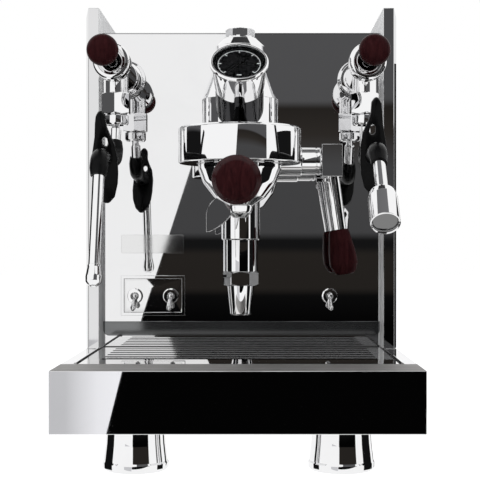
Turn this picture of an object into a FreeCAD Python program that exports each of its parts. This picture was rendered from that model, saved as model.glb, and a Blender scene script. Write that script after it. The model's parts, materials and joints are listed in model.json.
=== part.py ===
"""Espresso machine with a lever group, two ball-jointed wands and a drawer drip tray.

The frame: X to the machine's right, Y to its back, Z up, in millimetres.  The origin is on
the worktop, under the middle of everything that stands on it.  Sizes live in the sheet
"Sizes"; every sketch, pad and placement is bound to them.  Distances called "reach" are
measured forward from the front panel's face.
"""
import FreeCAD, Part
import math
import os
import re
import Sketcher

V = FreeCAD.Vector
X_AXIS, Y_AXIS, Z_AXIS = V(1, 0, 0), V(0, 1, 0), V(0, 0, 1)

SIZES = {
    # casing
    "base_width": 300, "foot_height": 34.6, "base_height": 50.5, "machine_height": 413,
    "panel_setback": 227, "rear_reach": 246, "handle_reach": 298, "panel_top": 393,
    "sheet_wall": 2, "running_gap": 0.3, "base_lip": 14,
    "side_width": 13.3, "side_reach": 24, "side_bevel": 3, "side_bevel_depth": 8,
    "strip_height": 14, "strip_lift": 11, "strip_corner": 6,
    "top_sink": 28, "tray_ledge": 8, "cup_tray_depth": 146,
    "vent_count": 7, "vent_pitch": 9, "vent_length": 150, "vent_height": 3,
    # feet
    "foot_radius": 27.5, "foot_top_radius": 24, "foot_rim": 7,
    "foot_spread": 85, "front_foot_reach": 185, "rear_foot_reach": 205,
    # drip tray
    "drawer_depth": 56, "tub_wall": 1.5, "tub_inset": 3, "grille_thick": 2.8,
    "grille_flange": 40, "grille_rear_gap": 8, "slot_count": 6, "slot_width": 9,
    "slot_pitch": 20.5, "slot_margin": 14,
    # group
    "group_reach": 115, "bell_radius": 54.25, "bell_bottom": 257, "bell_top": 289,
    "bell_edge": 2.5, "bore_radius": 38, "lug_groove_radius": 43.3, "lug_lip": 4,
    "lug_groove_height": 7.5, "lug_angle": 36, "unlock_angle": 34, "chamber_reach": 88,
    "chamber_radius": 34.5, "shoulder_rise": 10.5, "collar_radius": 22.4, "collar_rise": 44,
    "cap_radius": 13.3, "collar_length": 16, "cap_slope": 5.7, "cap_length": 8.8,
    "neck_radius": 24, "neck_height": 306, "flange_radius": 36, "flange_thick": 7,
    "screen_radius": 29, "gasket_radius": 37, "gasket_inner": 30,
    # pressure gauge
    "gauge_reach": 148, "gauge_height": 340.6, "gauge_tilt": 43, "bezel_radius": 25.4,
    "bezel_width": 4.4, "bezel_thick": 3.4, "stem_radius": 21.6, "stem_length": 26,
    "gauge_cup_depth": 10, "gauge_wall": 1.6, "dial_thick": 1.2, "glass_thick": 1.6,
    "pivot_radius": 0.8, "needle_zero": 135, "boss_reach": 131,
    # lever side and infusion column
    "column_reach": 52, "cam_radius": 22, "cam_drop": 23.5, "cam_rise": 8,
    "column_radius": 18,
    "column_step": 191, "lower_radius": 16.25, "nut_top": 160, "nut_bottom": 147,
    "nut_flats": 28.6, "nozzle_bottom": 119.5, "nozzle_radius": 12.5,
    "nozzle_tip_radius": 9.75, "barrel_radius": 14, "lever_height": 263.5,
    "gland_radius": 13, "gland_start": 57, "hub_start": 75.3, "hub_width": 19,
    "hub_depth": 30, "hub_rise": 20, "hub_drop": 16.5, "hub_bevel": 4,
    "shaft_radius": 5, "shaft_fit": 0.05, "lever_splay": 8.5, "rod_radius": 8,
    "rod_root": 10, "rod_end": 65, "grip_length": 42.5, "grip_radius": 13.5,
    # portafilter
    "bowl_radius": 36.9, "bowl_bottom": 209, "bowl_wall": 2.4, "ear_radius": 42.6,
    "ear_height": 4.5, "ear_width": 24, "basket_lip": 35.2, "basket_radius": 29.5,
    "basket_depth": 24, "handle_height": 232.5, "handle_radius": 18.2, "handle_droop": 6,
    "handle_dome": 14, "outlet_bore": 2.4, "handle_start": 74, "neck_rod_radius": 6.5,
    "spout_reach": 29.5, "spout_bottom": 196.5, "spout_width": 17,
    # valves
    "valve_spread": 113, "valve_height": 347, "valve_reach": 125, "bonnet_radius": 16.4,
    "valve_neck_radius": 13, "stick_reach": 182, "stick_radius": 3.4, "knob_radius": 13.3,
    "stick_pivot": 108, "pivot_ball": 6, "outlet_reach": 85, "outlet_radius": 11,
    "joint_nut_top": 323, "joint_nut_bottom": 304, "joint_nut_flats": 24.5,
    "cup_bottom": 294, "cup_radius": 11.2, "cup_spigot": 9.5, "cup_mouth": 9, "cup_roof": 3.2,
    "joint_height": 301, "joint_ball": 6.5,
    # wands
    "tube_radius": 5, "tube_neck": 3.6, "tube_start": 11, "wand_lean": 20, "wand_bend": 15,
    "wand_turn": 66.6, "steam_drop": 41, "steam_run": 104, "steam_turn": 68.3,
    "steam_fall": 92, "steam_tail": 6, "water_drop": 49, "water_run": 101,
    "water_turn": 48.6, "water_fall": 46, "water_tail": 9, "water_swing": 6, "sleeve_lead": 7,
    "paddle_length": 84, "paddle_width": 22, "paddle_thick": 6, "paddle_lean": 49.5,
    "paddle_fore": 67, "paddle_drop": 70,
    "tip_radius": 6.8, "tip_length": 17, "sleeve_radius": 7.5, "head_radius": 11.7,
    "head_length": 38,
    # controls
    "plate_centre": 86.75, "plate_width": 62.5, "plate_height": 39, "plate_middle": 135.5,
    "plate_thick": 3, "toggle_height": 135, "toggle_radius": 6.5,
    "toggle_spread": 17.4, "toggle_right": 86.4, "bat_radius": 2.6, "bat_length": 24,
    "bat_droop": 32, "bush_length": 6,
    # inside
    "boiler_radius": 55, "boiler_length": 190, "boiler_height": 262, "boiler_back": 78,
    "tank_width": 200, "tank_depth": 84, "tank_bottom": 124, "tank_top": 372,
    "tank_back": 200, "tank_wall": 3, "pump_radius": 28, "pump_length": 120,
    "pipe_radius": 4, "inlet_width": 34, "inlet_height": 28, "inlet_depth": 22,
    "inlet_across": -95, "inlet_up": 60,
}

doc = FreeCAD.newDocument("espresso_machine")
sheet = doc.addObject("Spreadsheet::Sheet", "Sizes")
for row, (alias, value) in enumerate(SIZES.items(), start=1):
    sheet.set("A%d" % row, alias.replace("_", " "))
    sheet.set("B%d" % row, str(value))
    sheet.setAlias("B%d" % row, alias)
doc.recompute()
ALIAS = re.compile(r"\b(%s)\b" % "|".join(sorted(SIZES, key=len, reverse=True)))

# places that many pieces share, as formulas of the sheet's sizes
HALF = "(base_width / 2)"
PANEL = "((handle_reach - rear_reach) / 2)"
BASE_TOP = "(foot_height + base_height)"
LEDGE = "(panel_setback - drawer_depth)"
INNER = "(base_width / 2 - side_width)"
SHELF = "(panel_top - top_sink + 18)"
GROUP_Y = "(%s - group_reach)" % PANEL
COLUMN_Y = "(%s - column_reach)" % PANEL
SHOULDER = "(neck_height + shoulder_rise)"
COLLAR = "(neck_height + collar_rise)"
COLLAR_TOP = "(%s + collar_length)" % COLLAR
CAP_SEAT = "(%s + cap_slope)" % COLLAR_TOP
CAP_TOP = "(%s + cap_length)" % CAP_SEAT
CAM_BOTTOM = "(lever_height - cam_drop)"

nodes = []


def formula(text):
    """The same formula with each size written as a cell of the sheet."""
    return ALIAS.sub(r"Sizes.\1", str(text))


def number(text):
    """What a formula comes to."""
    return float(sheet.evalExpression(formula(text)))


def ahead(reach):
    """The Y place that lies a reach forward of the front panel."""
    return "(%s - (%s))" % (PANEL, reach)


def bind(thing, name, text):
    """Tie a property to a formula."""
    thing.setExpression(name, formula(text))


def place(thing, x="0", y="0", z="0", axis=Z_AXIS, angle="0"):
    """Put a piece at a point, turned about an axis, all tied to the sheet."""
    spot = V(number(x), number(y), number(z))
    thing.Placement = FreeCAD.Placement(spot, FreeCAD.Rotation(axis, number(angle)))
    for letter, text in (("x", x), ("y", y), ("z", z)):
        if text != "0":
            bind(thing, ".Placement.Base.%s" % letter, text)
    if angle != "0":
        bind(thing, ".Placement.Rotation.Angle", angle)
    return thing


def new_body(label):
    """An empty body, which becomes the node of that name."""
    body = doc.addObject("PartDesign::Body", label)
    body.Label = label
    nodes.append(body)
    return body


def new_sketch(body, plane, lift):
    """An empty sketch on one of the body's own origin planes, raised along its normal."""
    sketch = body.newObject("Sketcher::SketchObject", body.Name + "_sketch")
    base = [face for face in body.Origin.OriginFeatures if face.Role == plane][0]
    sketch.AttachmentSupport = [(base, "")]
    sketch.MapMode = "FlatFace"
    if lift != "0":
        sketch.AttachmentOffset = FreeCAD.Placement(V(0, 0, number(lift)), FreeCAD.Rotation())
        bind(sketch, "AttachmentOffset.Base.z", lift)
    return sketch


def fix_point(sketch, edge, end, across, up):
    """Hold a point of a sketch at two formulas."""
    for kind, text, axis in (("DistanceX", across, -2), ("DistanceY", up, -1)):
        if text == "0":
            sketch.addConstraint(Sketcher.Constraint("PointOnObject", edge, end, axis))
            continue
        index = sketch.addConstraint(Sketcher.Constraint(kind, -1, 1, edge, end, number(text)))
        bind(sketch, "Constraints[%d]" % index, text)


def arc_between(start, stop, radius, side):
    """The short arc between two points, with its centre to the left or the right."""
    chord = stop - start
    left = V(-chord.y, chord.x, 0).normalize()
    reach = math.sqrt(max(radius ** 2 - (chord.Length / 2) ** 2, 0))
    centre = (start + stop) * 0.5 + left * (reach if side == "left" else -reach)
    first, last = (start, stop) if side == "left" else (stop, start)
    angles = [math.atan2(spot.y - centre.y, spot.x - centre.x) for spot in (first, last)]
    return Part.ArcOfCircle(Part.Circle(centre, Z_AXIS, radius), *angles)


def outline(body, plane, corners, lift="0"):
    """A closed sketch.  A corner is (across, up), or (across, up, side, radius) where an
    arc of that radius comes to it with its centre on that side."""
    sketch = new_sketch(body, plane, lift)
    spots = [V(number(corner[0]), number(corner[1]), 0) for corner in corners]
    ends = []
    for index, corner in enumerate(corners):
        start, stop = spots[index - 1], spots[index]
        if len(corner) == 2:
            sketch.addGeometry(Part.LineSegment(start, stop), False)
            ends.append((1, 2))
            continue
        side, radius = corner[2], corner[3]
        sketch.addGeometry(arc_between(start, stop, number(radius), side), False)
        ends.append((1, 2) if side == "left" else (2, 1))
    for index, corner in enumerate(corners):
        following = (index + 1) % len(corners)
        sketch.addConstraint(Sketcher.Constraint(
            "Coincident", index, ends[index][1], following, ends[following][0]))
        fix_point(sketch, index, ends[index][1], str(corner[0]), str(corner[1]))
    for index, corner in enumerate(corners):
        if len(corner) == 4:
            rule = sketch.addConstraint(Sketcher.Constraint("Radius", index, number(corner[3])))
            bind(sketch, "Constraints[%d]" % rule, corner[3])
    return sketch


def box_outline(body, plane, left, right, low, high, lift="0"):
    """A rectangle."""
    return outline(body, plane, [(left, low), (right, low), (right, high), (left, high)], lift)


def ring_outline(body, plane, rings, lift="0"):
    """Circles, each (across, up, radius)."""
    sketch = new_sketch(body, plane, lift)
    for index, (across, up, radius) in enumerate(rings):
        spot = V(number(across), number(up), 0)
        sketch.addGeometry(Part.Circle(spot, Z_AXIS, number(radius)), False)
        fix_point(sketch, index, 3, str(across), str(up))
        rule = sketch.addConstraint(Sketcher.Constraint("Radius", index, number(radius)))
        bind(sketch, "Constraints[%d]" % rule, radius)
    return sketch


def sector(body, inner, outer, facing, spread, lift):
    """A piece of a ring that faces an angle; its inner side is a chord."""
    first, last = "(%s - %s / 2)" % (facing, spread), "(%s + %s / 2)" % (facing, spread)

    def corner(radius, angle):
        return "%s * cos(%s)" % (radius, angle), "%s * sin(%s)" % (radius, angle)

    return outline(body, "XY_Plane", [
        corner(inner, first), corner(outer, first),
        corner(outer, last) + ("left", outer), corner(inner, last)], lift)


def pad(body, sketch, length, both_ways=False, backwards=False):
    """Push a sketch out along its normal."""
    feature = body.newObject("PartDesign::Pad", body.Name + "_pad")
    feature.Profile = sketch
    feature.SideType = "Symmetric" if both_ways else "One side"
    feature.Reversed = backwards
    bind(feature, "Length", length)
    return feature


def pocket(body, sketch, length, both_ways=False, backwards=False):
    """Cut a sketch's shape out of the body, and see that it removed something."""
    doc.recompute()
    before = body.Shape.Volume
    feature = body.newObject("PartDesign::Pocket", body.Name + "_pocket")
    feature.Profile = sketch
    feature.SideType = "Symmetric" if both_ways else "One side"
    feature.Reversed = backwards
    bind(feature, "Length", length)
    doc.recompute()
    if body.Shape.Volume > before - 0.1:
        raise RuntimeError("a pocket of %s cut nothing" % body.Label)
    return feature


def turn(body, corners, plane="XZ_Plane", lift="0"):
    """A turned form: an outline swept once round the upright axis of its sketch."""
    sketch = outline(body, plane, corners, lift)
    feature = body.newObject("PartDesign::Revolution", body.Name + "_turn")
    feature.Profile = sketch
    feature.ReferenceAxis = (sketch, ["V_Axis"])
    feature.Angle = 360
    return feature


def turn_out(body, corners, plane="XZ_Plane"):
    """A turned hollow."""
    doc.recompute()
    before = body.Shape.Volume
    sketch = outline(body, plane, corners)
    feature = body.newObject("PartDesign::Groove", body.Name + "_hollow")
    feature.Profile = sketch
    feature.ReferenceAxis = (sketch, ["V_Axis"])
    feature.Angle = 360
    doc.recompute()
    if body.Shape.Volume > before - 0.1:
        raise RuntimeError("a hollow of %s cut nothing" % body.Label)
    return feature


def repeat(body, feature, axis, length, count):
    """Copies of a feature in a straight row."""
    doc.recompute()
    row = body.newObject("PartDesign::LinearPattern", body.Name + "_row")
    row.Originals = [feature]
    line = [edge for edge in body.Origin.OriginFeatures if edge.Role == axis][0]
    row.Direction = (line, [""])
    bind(row, "Length", length)
    bind(row, "Occurrences", count)
    body.Tip = row
    return row


def hexagon(body, flats, low, high, plane="XY_Plane"):
    """A six-sided nut blank, flats across, from one height to another."""
    sketch = new_sketch(body, plane, low)
    corner = "(%s) / 2 / cos(30)" % flats
    points = [V(number(corner), 0, 0)]
    for step in range(1, 6):
        angle = math.radians(60 * step)
        points.append(V(points[0].x * math.cos(angle), points[0].x * math.sin(angle), 0))
    for step in range(6):
        sketch.addGeometry(Part.LineSegment(points[step], points[(step + 1) % 6]), False)
    sketch.addGeometry(Part.Circle(V(0, 0, 0), Z_AXIS, points[0].x), True)
    sketch.addConstraint(Sketcher.Constraint("Coincident", 6, 3, -1, 1))
    for step in range(6):
        sketch.addConstraint(Sketcher.Constraint("Coincident", step, 2, (step + 1) % 6, 1))
        sketch.addConstraint(Sketcher.Constraint("PointOnObject", step, 1, 6))
    for step in range(1, 6):
        sketch.addConstraint(Sketcher.Constraint("Equal", 0, step))
    sketch.addConstraint(Sketcher.Constraint("PointOnObject", 0, 1, -1))
    rule = sketch.addConstraint(Sketcher.Constraint("Radius", 6, points[0].x))
    bind(sketch, "Constraints[%d]" % rule, corner)
    return pad(body, sketch, "(%s) - (%s)" % (high, low))


# ---------------------------------------------------------------- casing

def base_chassis():
    """Two folded side rails joined by a rear wall, round the floor plate that carries the rest."""
    body = new_body("base_chassis")
    body.AllowCompound = True
    under = "(%s - sheet_wall)" % BASE_TOP
    for side in ("-1", "1"):
        outer = "(%s) * %s" % (side, HALF)
        wall = "(%s) * (base_width / 2 - sheet_wall)" % side
        lip = "(%s) * (base_width / 2 - base_lip)" % side
        section = outline(body, "XZ_Plane", [
            (outer, "foot_height"), (outer, BASE_TOP), (lip, BASE_TOP), (lip, under),
            (wall, under), (wall, "foot_height")], lift="-(%s)" % ahead("-rear_reach"))
        pad(body, section, "%s + rear_reach" % LEDGE)
    wall = "(base_width / 2 - sheet_wall)"
    back = box_outline(body, "XZ_Plane", "-" + wall, wall, "foot_height", under,
                       lift="-(%s)" % ahead("-rear_reach"))
    pad(body, back, "sheet_wall")
    socket = box_outline(body, "XZ_Plane", "inlet_across - inlet_width / 2",
                         "inlet_across + inlet_width / 2", "inlet_up - inlet_height / 2",
                         "inlet_up + inlet_height / 2", lift="-(%s)" % ahead("-rear_reach"))
    pocket(body, socket, "2 * sheet_wall", backwards=True)
    inset = "(base_width / 2 - sheet_wall - running_gap)"
    floor = box_outline(body, "XY_Plane", "-" + inset, inset,
                        ahead("panel_setback - sheet_wall - running_gap"),
                        ahead("sheet_wall + running_gap - rear_reach"), lift="foot_height")
    pad(body, floor, "sheet_wall")
    return body


def side_panel(side, label):
    """Closed box-section upright with a bevelled outer edge."""
    body = new_body(label)
    flat = "(%s) * (base_width / 2 - side_bevel)" % side
    outer = "(%s) * base_width / 2" % side
    inner = "(%s) * %s" % (side, INNER)
    skin = "(%s) * (base_width / 2 - sheet_wall)" % side
    hollow = "(%s) * (%s + sheet_wall)" % (side, INNER)
    rise = "machine_height - %s" % BASE_TOP
    section = outline(body, "XY_Plane", [
        (inner, ahead("side_reach")), (flat, ahead("side_reach")),
        (outer, ahead("side_reach - side_bevel_depth")), (outer, ahead("-rear_reach")),
        (inner, ahead("-rear_reach"))], lift=BASE_TOP)
    pad(body, section, rise)
    inside = box_outline(body, "XY_Plane", hollow, skin,
                         ahead("-rear_reach + sheet_wall"), ahead("side_reach - side_bevel_depth"),
                         lift=BASE_TOP)
    pocket(body, inside, "%s - side_bevel_depth - sheet_wall" % rise, backwards=True)
    edge = outline(body, "XZ_Plane", [
        (outer, "machine_height - side_bevel_depth"), (outer, "machine_height"),
        (flat, "machine_height")])
    pocket(body, edge, "2 * (panel_setback + rear_reach)", both_ways=True)
    return body


def front_panel():
    """Mirror-polished sheet with holes for the group, the valves and the switches."""
    body = new_body("front_panel")
    face = box_outline(body, "XZ_Plane", "-(%s)" % INNER, INNER, BASE_TOP,
                       "panel_top", lift="-(%s)" % PANEL)
    pad(body, face, "sheet_wall", backwards=True)
    inset = "(base_width / 2 - base_lip - running_gap)"
    foot = box_outline(body, "XZ_Plane", "-" + inset, inset, "foot_height + sheet_wall", BASE_TOP,
                       lift="-(%s)" % PANEL)
    pad(body, foot, "sheet_wall", backwards=True)
    holes = ring_outline(body, "XZ_Plane", [
        ("0", "neck_height", "neck_radius"),
        ("-valve_spread", "valve_height", "valve_neck_radius - sheet_wall"),
        ("valve_spread", "valve_height", "valve_neck_radius - sheet_wall"),
        ("-plate_centre - toggle_spread", "toggle_height", "toggle_radius - 1.5"),
        ("-plate_centre + toggle_spread", "toggle_height", "toggle_radius - 1.5"),
        ("toggle_right", "toggle_height", "toggle_radius - 1.5")], lift="-(%s)" % PANEL)
    pocket(body, holes, "2 * sheet_wall", backwards=False)
    return body


def splash_strip():
    """Satin strip across the foot of the front panel, rounded at its lower corners."""
    body = new_body("splash_strip")
    low = "(%s + strip_lift)" % BASE_TOP
    high = "(%s + strip_height)" % low
    left, right = "-(%s - 1)" % INNER, "(%s - 1)" % INNER
    face = outline(body, "XZ_Plane", [
        (left, high), (left, "%s + strip_corner" % low),
        ("%s + strip_corner" % left, low, "left", "strip_corner"),
        ("%s - strip_corner" % right, low),
        (right, "%s + strip_corner" % low, "left", "strip_corner"), (right, high)],
        lift="-(%s)" % PANEL)
    pad(body, face, "sheet_wall / 2")
    return body


def rear_panel():
    """Back sheet between the side panels, with a field of vent slots."""
    body = new_body("rear_panel")
    face = box_outline(body, "XZ_Plane", "-(%s)" % INNER, INNER, BASE_TOP, "panel_top",
                       lift="-(%s)" % ahead("-rear_reach"))
    pad(body, face, "sheet_wall")
    vent = box_outline(body, "XZ_Plane", "-vent_length / 2", "vent_length / 2",
                       "panel_top - 120", "panel_top - 120 + vent_height",
                       lift="-(%s)" % ahead("-rear_reach"))
    slot = pocket(body, vent, "2 * sheet_wall", backwards=True)
    repeat(body, slot, "Z_Axis", "vent_pitch * (vent_count - 1)", "vent_count")
    return body


def top_tray(label, front, rear, knob):
    """A sheet dropped between the side panels; the rear one has a finger knob."""
    body = new_body(label)
    side = "(%s - running_gap)" % INNER
    low = SHELF if not knob else "(%s + running_gap)" % SHELF
    plate = box_outline(body, "XY_Plane", "-" + side, side, front, rear, lift=low)
    pad(body, plate, "sheet_wall")
    if knob:
        stud = ring_outline(body, "XY_Plane", [("0", "(%s + %s) / 2" % (front, rear), "8")],
                            lift="%s + sheet_wall" % low)
        pad(body, stud, "top_sink / 3")
        return body
    slot = box_outline(body, "XY_Plane", "-110", "110", "%s + 15" % front,
                       "%s + 15 + slot_width / 2" % front, lift=low)
    cut = pocket(body, slot, "2 * sheet_wall", backwards=True)
    repeat(body, cut, "Y_Axis", "cup_tray_depth - 34", "9")
    return body


def feet():
    """Four bell-shaped feet: a low rim, then a cone up to the base."""
    body = new_body("feet")
    body.AllowCompound = True
    for across in ("-foot_spread", "foot_spread"):
        for along in (ahead("front_foot_reach"), ahead("-rear_foot_reach")):
            sketch = outline(body, "XZ_Plane", [
                ("0", "0"), ("foot_radius - 1.5", "0"), ("foot_radius", "1.5"),
                ("foot_radius", "foot_rim"), ("foot_top_radius + 0.5", "foot_height - 3"),
                ("foot_top_radius - 1", "foot_height"), ("0", "foot_height")])
            sketch.AttachmentOffset = FreeCAD.Placement(
                V(number(across), 0, -number(along)), FreeCAD.Rotation())
            bind(sketch, "AttachmentOffset.Base.x", across)
            bind(sketch, "AttachmentOffset.Base.z", "-(%s)" % along)
            spin = body.newObject("PartDesign::Revolution", "foot_turn")
            spin.Profile = sketch
            spin.ReferenceAxis = (sketch, ["V_Axis"])
            spin.Angle = 360
    return body


# ---------------------------------------------------------------- drip tray

def drawer_front():
    """The mirror front of the base: face, deep ledge and cheeks, open below and behind."""
    body = new_body("drawer_front")
    face = box_outline(body, "XY_Plane", "-" + HALF, HALF, ahead("panel_setback"),
                       ahead("%s + running_gap" % LEDGE), lift="foot_height")
    pad(body, face, "base_height")
    wall = "(base_width / 2 - sheet_wall)"
    inside = box_outline(body, "XY_Plane", "-" + wall, wall,
                         ahead("panel_setback - sheet_wall"), ahead(LEDGE), lift="foot_height")
    pocket(body, inside, "base_height - sheet_wall", backwards=True)
    return body


def drip_tray():
    """Open tub that slides on the chassis floor and carries the grille on its rim."""
    body = new_body("drip_tray")
    half = "(base_width / 2 - base_lip - tub_inset)"
    low = "(foot_height + sheet_wall + running_gap)"
    high = "(%s - grille_thick - running_gap)" % BASE_TOP
    near = ahead("panel_setback - sheet_wall")
    far = ahead("grille_rear_gap")
    tub = box_outline(body, "XY_Plane", "-" + half, half, near, far, lift=low)
    pad(body, tub, "%s - %s" % (high, low))
    inside = box_outline(body, "XY_Plane", "-(%s - tub_wall)" % half, "%s - tub_wall" % half,
                         "%s + tub_wall" % near, "%s - tub_wall" % far, lift=high)
    pocket(body, inside, "%s - %s - tub_wall" % (high, low))
    return body


def drip_grille():
    """Plate with a broad front flange and a row of long slots."""
    body = new_body("drip_grille")
    half = "(base_width / 2 - base_lip - 4 * running_gap)"
    near = ahead("%s - running_gap" % LEDGE)
    plate = box_outline(body, "XY_Plane", "-" + half, half, near, ahead("grille_rear_gap"),
                        lift="%s - grille_thick" % BASE_TOP)
    pad(body, plate, "grille_thick")
    start = "%s + grille_flange" % near
    slot = box_outline(body, "XY_Plane", "-(%s - slot_margin)" % half, "%s - slot_margin" % half,
                       start, "%s + slot_width" % start, lift=BASE_TOP)
    cut = pocket(body, slot, "grille_thick")
    repeat(body, cut, "Y_Axis", "slot_pitch * (slot_count - 1)", "slot_count")
    return body


# ---------------------------------------------------------------- group

def group_body():
    """Chamber with a conical shoulder, neck to the panel, cam barrel and gauge boss."""
    body = new_body("group_body")
    shift = "(group_reach - chamber_reach)"
    sketch = outline(body, "XZ_Plane", [
        ("0", "bell_top"), ("chamber_radius", "bell_top"), ("chamber_radius", SHOULDER),
        ("collar_radius", COLLAR), ("0", COLLAR)], lift="-%s" % shift)
    spin = body.newObject("PartDesign::Revolution", "chamber_turn")
    spin.Profile = sketch
    spin.ReferenceAxis = (sketch, ["V_Axis"])
    spin.Angle = 360
    boss = ring_outline(body, "XY_Plane", [("0", "group_reach - boss_reach", "stem_radius")],
                        lift="bell_top")
    pad(body, boss, "gauge_height - bell_top")
    neck = ring_outline(body, "XZ_Plane", [("0", "neck_height", "neck_radius")], lift="-group_reach")
    pad(body, neck, "chamber_reach * 0.8 + 0.2 * group_reach - chamber_radius * 0.5")
    flange = ring_outline(body, "XZ_Plane", [("0", "neck_height", "flange_radius")],
                          lift="-group_reach")
    pad(body, flange, "flange_thick")
    cam = ring_outline(body, "XY_Plane", [("0", "group_reach - column_reach", "cam_radius")],
                       lift=CAM_BOTTOM)
    pad(body, cam, "neck_height + cam_rise - %s" % CAM_BOTTOM)
    barrel = ring_outline(body, "YZ_Plane", [
        ("group_reach - column_reach", "lever_height", "barrel_radius")])
    pad(body, barrel, "gland_start")
    lean = "gauge_tilt"
    seat_reach = "(gauge_reach - stem_length * cos(%s))" % lean
    seat_height = "(gauge_height - stem_length * sin(%s))" % lean
    y = "(group_reach - %s)" % seat_reach
    slope_y, slope_z = "sin(%s)" % lean, "cos(%s)" % lean
    trim = outline(body, "YZ_Plane", [
        ("%s - 40 * %s" % (y, slope_y), "%s - 40 * %s" % (seat_height, slope_z)),
        ("%s + 23 * %s" % (y, slope_y), "%s + 23 * %s" % (seat_height, slope_z)),
        ("%s + 23 * %s - 40 * %s" % (y, slope_y, slope_z),
         "%s + 23 * %s + 40 * %s" % (seat_height, slope_z, slope_y)),
        ("%s - 40 * %s - 40 * %s" % (y, slope_y, slope_z),
         "%s - 40 * %s + 40 * %s" % (seat_height, slope_z, slope_y))])
    pocket(body, trim, "4 * stem_radius", both_ways=True)
    seat = ring_outline(body, "XY_Plane", [("0", "0", "bell_radius")], lift="bell_top")
    pocket(body, seat, "bell_top - bell_bottom")
    bore = ring_outline(body, "YZ_Plane", [
        ("group_reach - column_reach", "lever_height", "shaft_radius + shaft_fit")],
        lift="gland_start")
    pocket(body, bore, "gland_start - cam_radius / 2")
    return place(body, y=GROUP_Y)


def group_bell():
    """Brew head: a heavy ring with a bayonet groove, entered through two gaps."""
    body = new_body("group_bell")
    roof = "(bell_bottom + lug_lip + lug_groove_height)"
    ceiling = "(%s + 6)" % roof
    turn(body, [
        ("0", ceiling), ("gasket_radius + 0.2", ceiling),
        ("gasket_radius + 0.2", roof),
        ("lug_groove_radius", roof), ("lug_groove_radius", "bell_bottom + lug_lip"),
        ("bore_radius", "bell_bottom + lug_lip"), ("bore_radius", "bell_bottom"),
        ("bell_radius - bell_edge", "bell_bottom"),
        ("bell_radius", "bell_bottom + bell_edge", "left", "bell_edge"),
        ("bell_radius", "bell_top - bell_edge"),
        ("bell_radius - bell_edge", "bell_top", "left", "bell_edge"), ("0", "bell_top")])
    for facing in ("0", "180"):
        gap = sector(body, "(bore_radius - 1)", "lug_groove_radius",
                     "(%s - unlock_angle)" % facing, "lug_angle", "bell_bottom")
        pocket(body, gap, "lug_lip", backwards=True)
    return place(body, y=GROUP_Y)


def group_ring(label, inner, outer, low, high):
    """A flat turned ring in the brew head."""
    body = new_body(label)
    turn(body, [(inner, low), (outer, low), (outer, high), (inner, high)])
    return place(body, y=GROUP_Y)


def group_top_nut():
    """Chamfered collar and cap on top of the chamber."""
    body = new_body("group_top_nut")
    turn(body, [
        ("0", COLLAR), ("collar_radius", COLLAR),
        ("collar_radius", COLLAR_TOP), ("cap_radius + 1.2", CAP_SEAT),
        ("cap_radius", "%s + 0.8" % CAP_SEAT), ("cap_radius", "%s - 1.5" % CAP_TOP),
        ("cap_radius - 1.5", CAP_TOP), ("0", CAP_TOP)])
    return place(body, y=ahead("chamber_reach"))


# ---------------------------------------------------------------- gauge

def gauge_place(body):
    """On the gauge's own axis, which points forward and up."""
    return place(body, y=ahead("gauge_reach"), z="gauge_height", axis=X_AXIS,
                 angle="90 - gauge_tilt")


def gauge_housing():
    """Stem and cup of the gauge, on the boss of the group."""
    body = new_body("gauge_housing")
    cup = "(bezel_radius - 2)"
    well = "(%s - gauge_wall)" % cup
    floor = "(2 - gauge_cup_depth)"
    turn(body, [
        ("0", "-stem_length"), ("stem_radius", "-stem_length"), (cup, "-gauge_wall"), (cup, "0"),
        (well, "0"), (well, floor),
        ("pivot_radius + shaft_fit", floor), ("pivot_radius + shaft_fit", "%s - 3" % floor),
        ("0", "%s - 3" % floor)])
    return gauge_place(body)


def gauge_bezel():
    """Rounded rim ring that holds the glass."""
    body = new_body("gauge_bezel")
    turn(body, [
        ("bezel_radius - bezel_width", "0"), ("bezel_radius", "0"),
        ("bezel_radius", "bezel_thick - 1.6"),
        ("bezel_radius - 1.6", "bezel_thick", "left", "1.6"),
        ("bezel_radius - bezel_width + 0.6", "bezel_thick"),
        ("bezel_radius - bezel_width", "bezel_thick - 0.6")])
    return gauge_place(body)


def gauge_disc(label, low, high, radius, bore=None):
    """The dial or the glass."""
    body = new_body(label)
    if bore:
        turn(body, [(bore, low), (radius, low), (radius, high), (bore, high)])
    else:
        turn(body, [("0", low), (radius, low), (radius, high), ("0", high)])
    return gauge_place(body)


def gauge_needle():
    """Tapered pointer on a pivot pin, drawn at the zero mark."""
    body = new_body("gauge_needle")
    low = "(-gauge_cup_depth + 2 + dial_thick + 0.4)"
    hub = ring_outline(body, "XY_Plane", [("0", "0", "2.2")], lift=low)
    pad(body, hub, "1")
    blade = new_sketch(body, "XY_Plane", low)
    blade.AttachmentOffset = FreeCAD.Placement(
        V(0, 0, number(low)), FreeCAD.Rotation(Z_AXIS, number("needle_zero")))
    bind(blade, "AttachmentOffset.Rotation.Angle", "needle_zero")
    fill_outline(blade, [
        ("1.3", "-4.5"), ("0.35", "bezel_radius * 0.62"), ("-0.35", "bezel_radius * 0.62"),
        ("-1.3", "-4.5")])
    pad(body, blade, "0.8")
    pin = ring_outline(body, "XY_Plane", [("0", "0", "pivot_radius")], lift=low)
    pad(body, pin, "dial_thick + 0.3", backwards=True)
    return gauge_place(body)


# ---------------------------------------------------------------- column and lever

def infusion_column():
    """Two-step barrel under the cam chamber."""
    body = new_body("infusion_column")
    turn(body, [
        ("0", "nut_top"), ("lower_radius", "nut_top"), ("lower_radius", "column_step - 1"),
        ("column_radius - 0.8", "column_step - 1"), ("column_radius", "column_step"),
        ("column_radius", "%s - 8" % CAM_BOTTOM), ("cam_radius - 1", "%s - 6" % CAM_BOTTOM),
        ("cam_radius - 1", CAM_BOTTOM), ("0", CAM_BOTTOM)])
    return place(body, y=COLUMN_Y)


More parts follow.
